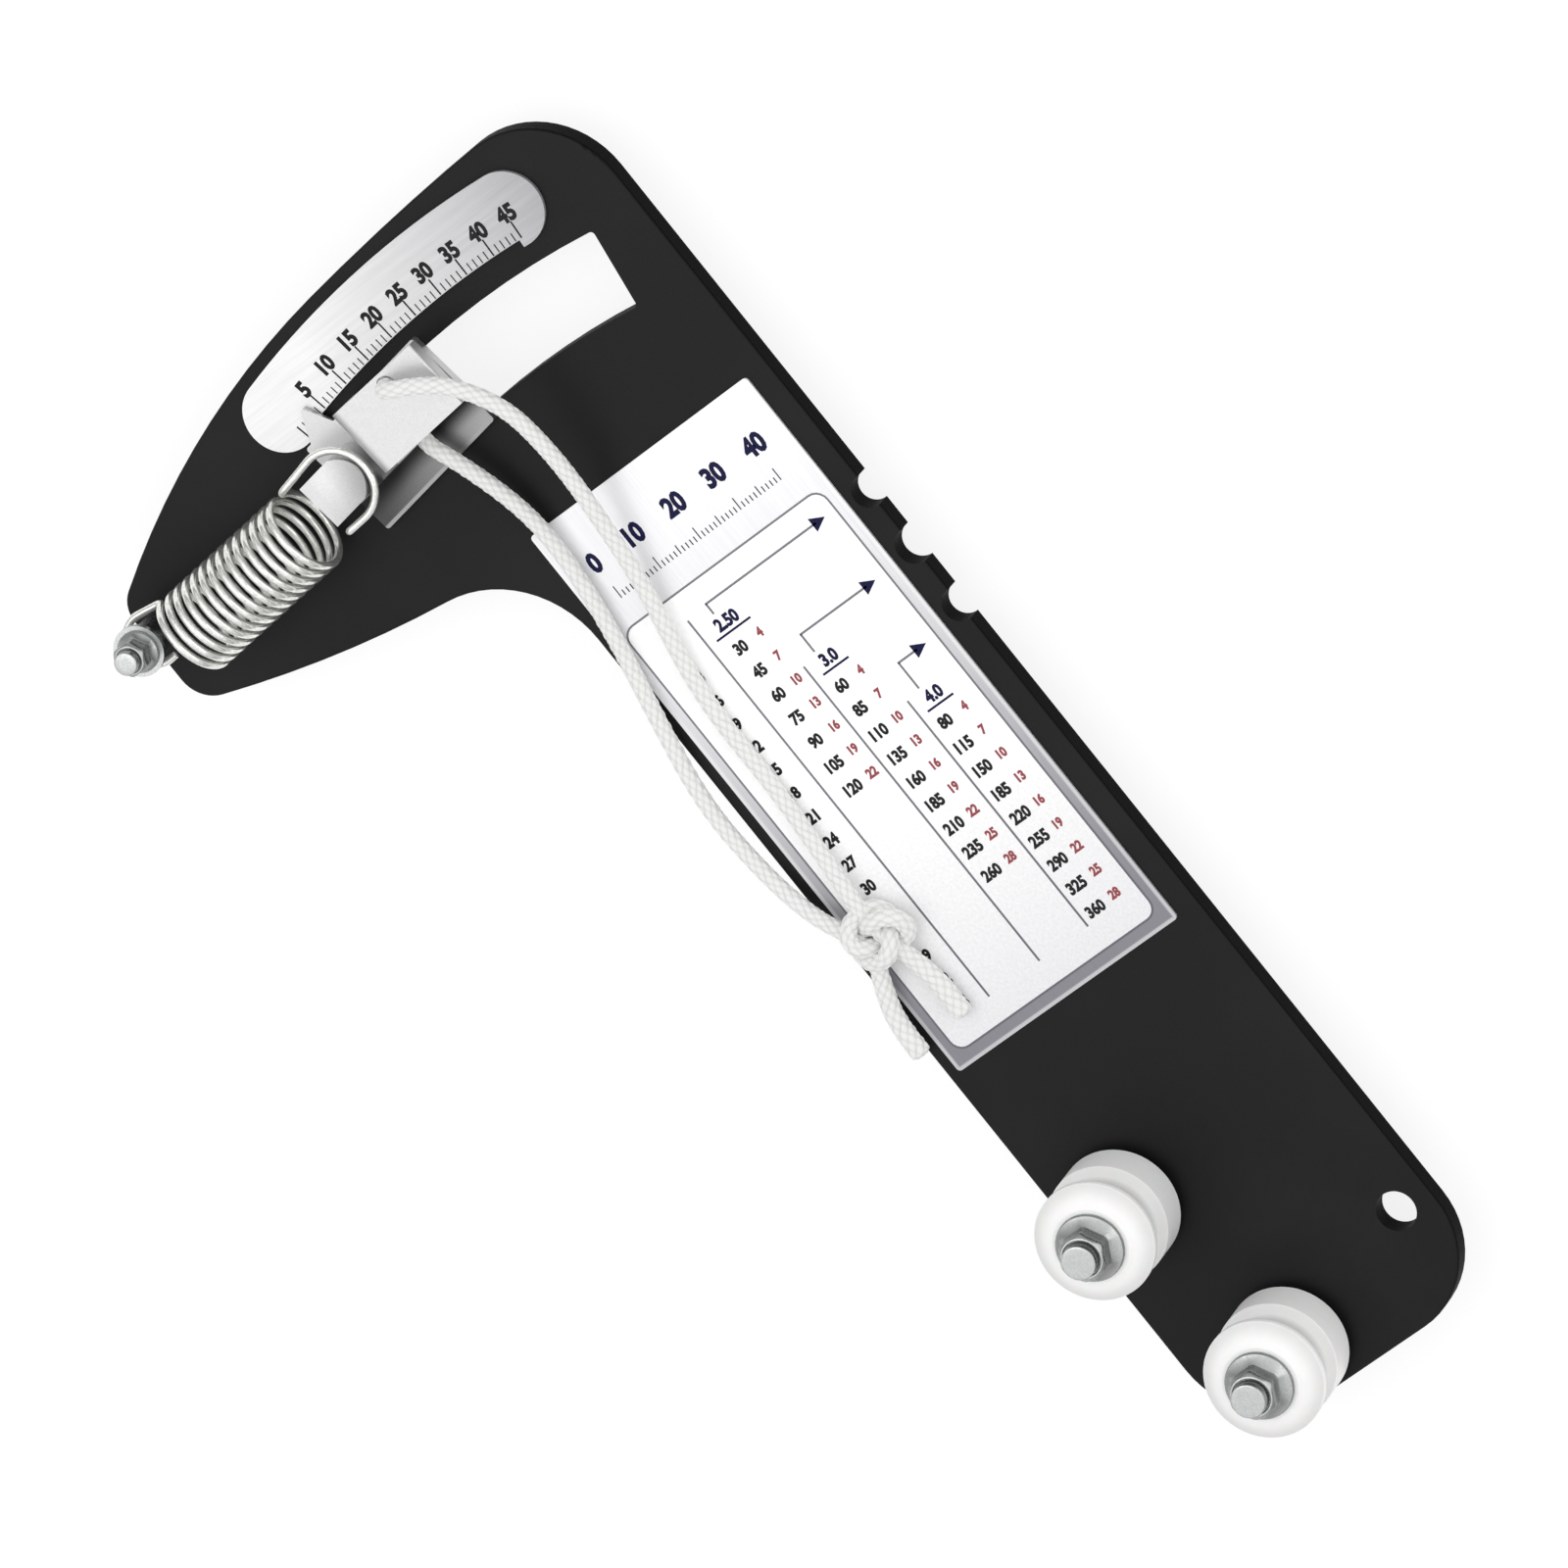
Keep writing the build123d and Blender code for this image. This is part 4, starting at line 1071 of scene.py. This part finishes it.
def knot(settings, material):
    """Overhand knot drawn up tight: a closed trefoil line that winds twice round its middle. With w = 2 +
    0.75 cos 3t, its x and y are w cos 2t and w sin 2t and its height is sin 3t. It is turned so that one lobe
    lies towards the notched edge."""
    steps, lobe = 300, 0.75
    (x, y), floor, _ = middle("lanyard_knot")
    radius = settings.diameter / 2 * settings.knot_swell
    reach = np.array([settings.knot_length, settings.knot_width]) / 2 - radius
    rise = settings.knot_rise
    t = np.linspace(0, 2 * pi, steps, endpoint=False)
    ring = 2 + lobe * np.cos(3 * t)
    plan = np.column_stack(turned((ring * np.cos(2 * t), ring * np.sin(2 * t)), settings.knot_turn))
    out = np.column_stack([plan * reach / np.abs(plan).max(0), rise * np.sin(3 * t)])
    centres = out + [x, y + settings.knot_shift, floor + radius + rise]
    height = braid(centres, settings)
    sides = height.shape[1]
    # One ring more at each end, so that the section turns smoothly where the line closes
    ringed, reference, swell = (np.vstack([rows[-1:], rows, rows[:1]]) for rows in (centres, out, height))
    surface = 1 + settings.relief * (swell - mean_height)
    points, _ = tube(ringed, reference, np.full(steps + 2, radius), sides, surface)
    piece = mesh_piece("lanyard_knot_wraps", points[sides:-sides], ring_faces(steps, sides, closed=True),
                       material, "slider")
    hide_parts("lanyard_knot")
    store_braid(piece, height.ravel())
    return piece


# Stage

def set_camera(scene, settings):
    """Long lens aimed at a point on the plate: the sensor times the distance, over the view's width."""
    data = bpy.data.cameras.new("camera")
    data.lens = data.sensor_width * settings.distance / settings.width
    data.clip_start, data.clip_end = 0.1, 20.0
    camera = bpy.data.objects.new("camera", data)
    scene.collection.objects.link(camera)
    stand = Euler((pi / 2 - settings.elevation, 0.0, settings.azimuth)).to_matrix()
    facing = stand @ Matrix.Rotation(settings.roll, 3, "Z")
    aim = Vector((settings.aim_x, settings.aim_y, 0.0))
    place = aim + facing @ Vector((0.0, 0.0, settings.distance))
    camera.matrix_world = Matrix.Translation(place) @ facing.to_4x4()
    scene.camera = camera


def seen_directly(tree):
    """1 for rays from the camera, from a gloss or through glass, and 0 for the rest."""
    path = node(tree, "LightPath")
    seen = path.outputs["Is Camera Ray"]
    for kind in ("Is Glossy Ray", "Is Transmission Ray"):
        seen = node(tree, "Math", [seen, path.outputs[kind]], operation="MAXIMUM")
    return seen


def set_world(scene, settings):
    """White all round where it is seen, and the ambient level where it lights. What metal mirrors is white
    overhead and dims towards the horizon, as under a wide soft box."""
    white_from = 0.65
    scene.world = bpy.data.worlds.new("studio")
    scene.world.use_nodes = True
    tree = scene.world.node_tree
    strength = node(tree, "MapRange", [seen_directly(tree), 0.0, 1.0, settings.ambient])
    way = node(tree, "TexCoord").outputs["Generated"]
    height = node(tree, "SeparateXYZ", [way]).outputs["Z"]
    overhead = node(tree, "MapRange", [height, 0.0, white_from, settings.horizon])
    mirrored = node(tree, "LightPath").outputs["Is Glossy Ray"]
    dimmed = node(tree, "MapRange", [mirrored, 0.0, 1.0, 1.0, overhead])
    strength = node(tree, "Math", [strength, dimmed], operation="MULTIPLY")
    tree.links.new(strength.outputs[0], tree.nodes["Background"].inputs["Strength"])
    tree.nodes["Background"].inputs["Color"].default_value = (1.0, 1.0, 1.0, 1.0)


def set_floor(settings, level):
    """Wide pale floor. Where it is seen it mostly glows near white, and what it takes from the lamps keeps
    the gauge's soft shadow on it."""
    half = 4.0
    glow_level, taken, white = 0.84, (0.2, 0.2, 0.2, 1.0), (1.0, 1.0, 1.0, 1.0)
    points = [(-half, -half, level), (half, -half, level), (half, half, level), (-half, half, level)]
    mesh = bpy.data.meshes.new("floor")
    mesh.from_pydata(points, [], [[0, 1, 2, 3]])
    material = bpy.data.materials.new("pale_paper_sweep")
    material.use_nodes = True
    tree = material.node_tree
    tree.nodes.remove(tree.nodes["Principled BSDF"])
    lit = node(tree, "BsdfDiffuse", {"Color": settings.floor})
    shown = node(tree, "BsdfDiffuse", {"Color": taken})
    glow = node(tree, "Emission", {"Color": white, "Strength": glow_level})
    both = node(tree, "AddShader", [shown, glow])
    mixed = node(tree, "MixShader", [seen_directly(tree), lit, both])
    tree.links.new(mixed.outputs[0], tree.nodes["Material Output"].inputs["Surface"])
    mesh.materials.append(material)
    floor = bpy.data.objects.new("floor", mesh)
    bpy.context.scene.collection.objects.link(floor)


def area_lamp(name, way, distance, size, power):
    """Round lamp that stands that way from the gauge's middle and shines at it."""
    data = bpy.data.lights.new(name, "AREA")
    data.shape = "DISK"
    data.size = size
    data.energy = power
    lamp = bpy.data.objects.new(name, data)
    way = Vector(way).normalized()
    middle_at = Vector(((cad_low.x + cad_high.x) / 2, (cad_low.y + cad_high.y) / 2, 0.0))
    lamp.location = middle_at + way * distance
    lamp.rotation_mode = "QUATERNION"
    lamp.rotation_quaternion = (-way).to_track_quat("-Z", "Y")
    bpy.context.scene.collection.objects.link(lamp)


# Operators

def paint(material, *names):
    """Gives these nodes that finish."""
    for name in names:
        nodes[name].data.materials.clear()
        nodes[name].data.materials.append(material)


class GAUGE_OT_stage(bpy.types.Operator):
    """Set the camera, the lamps, the world and the pale floor"""
    bl_idname = "gauge.stage"
    bl_label = "Stage"

    def execute(self, context):
        settings = context.scene.gauge_stage
        floor_gap = 0.05 * MM
        key_way, key_distance = (-0.44, -0.21, 1.2), 0.8
        fill_way, fill_distance = (0.25, 1.0, 0.65), 0.9
        set_camera(context.scene, settings)
        set_world(context.scene, settings)
        set_floor(settings, cad_low.z - floor_gap)
        area_lamp("key_lamp", key_way, key_distance, settings.lamp_size, settings.key_power)
        area_lamp("fill_lamp", fill_way, fill_distance, settings.lamp_size, settings.fill_power)
        return {"FINISHED"}


class GAUGE_OT_lanyard(bpy.types.Operator):
    """Lay the braided lanyard's two strands and tie its knot"""
    bl_idname = "gauge.lanyard"
    bl_label = "Lanyard"

    def execute(self, context):
        settings = context.scene.gauge_lanyard
        material = braided_polyester(context.scene.gauge_finishes)
        tied = knot(settings, material)
        spacing = 0.2 * MM
        for name, (route, real_length, strand, tail) in cords.items():
            centres = smooth_line(route, spacing)
            piece = braided_cord(name, centres, settings, material)
            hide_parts(strand, tail)
        return {"FINISHED"}


class GAUGE_OT_plates(bpy.types.Operator):
    """Finish the body plate, the scale plate and the calibration plate"""
    bl_idname = "gauge.plates"
    bl_label = "Plates"

    def execute(self, context):
        colours = context.scene.gauge_finishes
        paint(black_anodised_aluminium(colours), "body_plate")
        paint(silver_anodised_scale(colours), "scale_plate")
        paint(lacquered_label_aluminium(colours), "calibration_plate")
        return {"FINISHED"}


class GAUGE_OT_prints(bpy.types.Operator):
    """Print the scale and the calibration table"""
    bl_idname = "gauge.prints"
    bl_label = "Prints"

    def execute(self, context):
        colours = context.scene.gauge_finishes
        # Painted shade for the grey and white inks at the plate's foot
        foot_colours = {"grey_ink": colours.grey_foot, "white_ink": colours.white_foot}
        inks = {}
        for name in ("black_ink", "navy_ink", "red_ink", "grey_ink", "white_ink"):
            colour = getattr(colours, name)
            inks[name] = screen_ink(name, colour, foot_colours.get(name, colour))
        scale_print(context.scene.gauge_scale_print, inks["black_ink"])
        table_print(context.scene.gauge_table_print, inks)
        return {"FINISHED"}


class GAUGE_OT_rollers(bpy.types.Operator):
    """Finish the two nylon rollers and their bronze bushes"""
    bl_idname = "gauge.rollers"
    bl_label = "Rollers"

    def execute(self, context):
        colours = context.scene.gauge_finishes
        bronze = sintered_bronze(colours)
        for name in ("inner_roller", "end_roller"):
            low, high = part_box(name)
            radius = (high.x - low.x) / 2
            paint(turned_nylon("turned_nylon_" + name, colours, middle(name)[0], radius), name)
            paint(bronze, name + "_bush")
        return {"FINISHED"}


class GAUGE_OT_fasteners(bpy.types.Operator):
    """Make the threaded bolts and nuts and finish the washers and screws"""
    bl_idname = "gauge.fasteners"
    bl_label = "Fasteners"

    def execute(self, context):
        zinc = zinc_plated_steel(context.scene.gauge_finishes)
        for name in ("inner_roller", "end_roller"):
            flange_bolt(name + "_bolt", zinc, shank=3.0 * MM, pitch=1.0 * MM, flats=8.4 * MM, head=7.7 * MM,
                        flange=6.5 * MM, flange_thick=1.5 * MM, boss=3.3 * MM)
            hex_nut(name + "_nut", zinc, bore=3.0 * MM, pitch=1.0 * MM, flats=10.0 * MM)
            paint(zinc, name + "_spacer", name + "_back_washer")
        flange_bolt("anchor_bolt", zinc, shank=2.0 * MM, pitch=0.7 * MM, flats=5.9 * MM, head=6.8 * MM,
                    flange=4.0 * MM, flange_thick=1.2 * MM, boss=2.25 * MM)
        hex_nut("anchor_nut", zinc, bore=2.0 * MM, pitch=0.7 * MM, flats=7.0 * MM)
        paint(zinc, "anchor_spacer", "anchor_washer", "anchor_back_washer", "slider_screws")
        return {"FINISHED"}


class GAUGE_OT_slider(bpy.types.Operator):
    """Finish the slider's bracket, guide block and keeper"""
    bl_idname = "gauge.slider"
    bl_label = "Slider"

    def execute(self, context):
        colours = context.scene.gauge_finishes
        paint(satin_aluminium(colours), "slider_bracket", "slider_keeper")
        low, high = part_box("slider_guide")
        guide_reach = (high - low).length / 2
        guide_nylon = turned_nylon("milled_nylon", colours, middle("slider_guide")[0], guide_reach)
        paint(guide_nylon, "slider_guide")
        return {"FINISHED"}


class GAUGE_OT_spring(bpy.types.Operator):
    """Wind the tension spring between the anchor and the slider's post"""
    bl_idname = "gauge.spring"
    bl_label = "Spring"

    def execute(self, context):
        coil_spring(context.scene.gauge_spring, drawn_spring_steel(context.scene.gauge_finishes))
        return {"FINISHED"}


class GAUGE_PT_panel(bpy.types.Panel):
    """The gauge's pieces and settings"""
    bl_idname = "GAUGE_PT_panel"
    bl_label = "Rigging Tension Gauge"
    bl_space_type = "VIEW_3D"
    bl_region_type = "UI"
    bl_category = "Gauge"

    def draw(self, context):
        for operator in operators:
            self.layout.operator(operator.bl_idname)
        for name in settings_groups:
            box = self.layout.box()
            group = getattr(context.scene, name)
            for setting in group.bl_rna.properties:
                if setting.identifier not in ("rna_type", "name"):
                    box.prop(group, setting.identifier)


settings_groups = {"gauge_finishes": GaugeFinishes, "gauge_scale_print": GaugeScalePrint,
                   "gauge_table_print": GaugeTablePrint, "gauge_spring": GaugeSpring,
                   "gauge_lanyard": GaugeLanyard, "gauge_stage": GaugeStage}
# The stage and the lanyard come first, because the cords may spread only so far outside the camera's view
operators = (GAUGE_OT_stage, GAUGE_OT_lanyard, GAUGE_OT_plates, GAUGE_OT_prints, GAUGE_OT_rollers,
             GAUGE_OT_fasteners, GAUGE_OT_slider, GAUGE_OT_spring)


def register():
    for name, group in settings_groups.items():
        bpy.utils.register_class(group)
        setattr(bpy.types.Scene, name, bpy.props.PointerProperty(type=group))
    for each in (*operators, GAUGE_PT_panel):
        bpy.utils.register_class(each)


def unregister():
    for each in (GAUGE_PT_panel, *reversed(operators)):
        bpy.utils.unregister_class(each)
    for name, group in settings_groups.items():
        delattr(bpy.types.Scene, name)
        bpy.utils.unregister_class(group)


def main():
    """Makes every piece in order."""
    register()
    bpy.context.scene.view_settings.view_transform = "Standard"
    for operator in operators:
        group, name = operator.bl_idname.split(".")
        getattr(getattr(bpy.ops, group), name)()


if __name__ == "__main__":
    main()
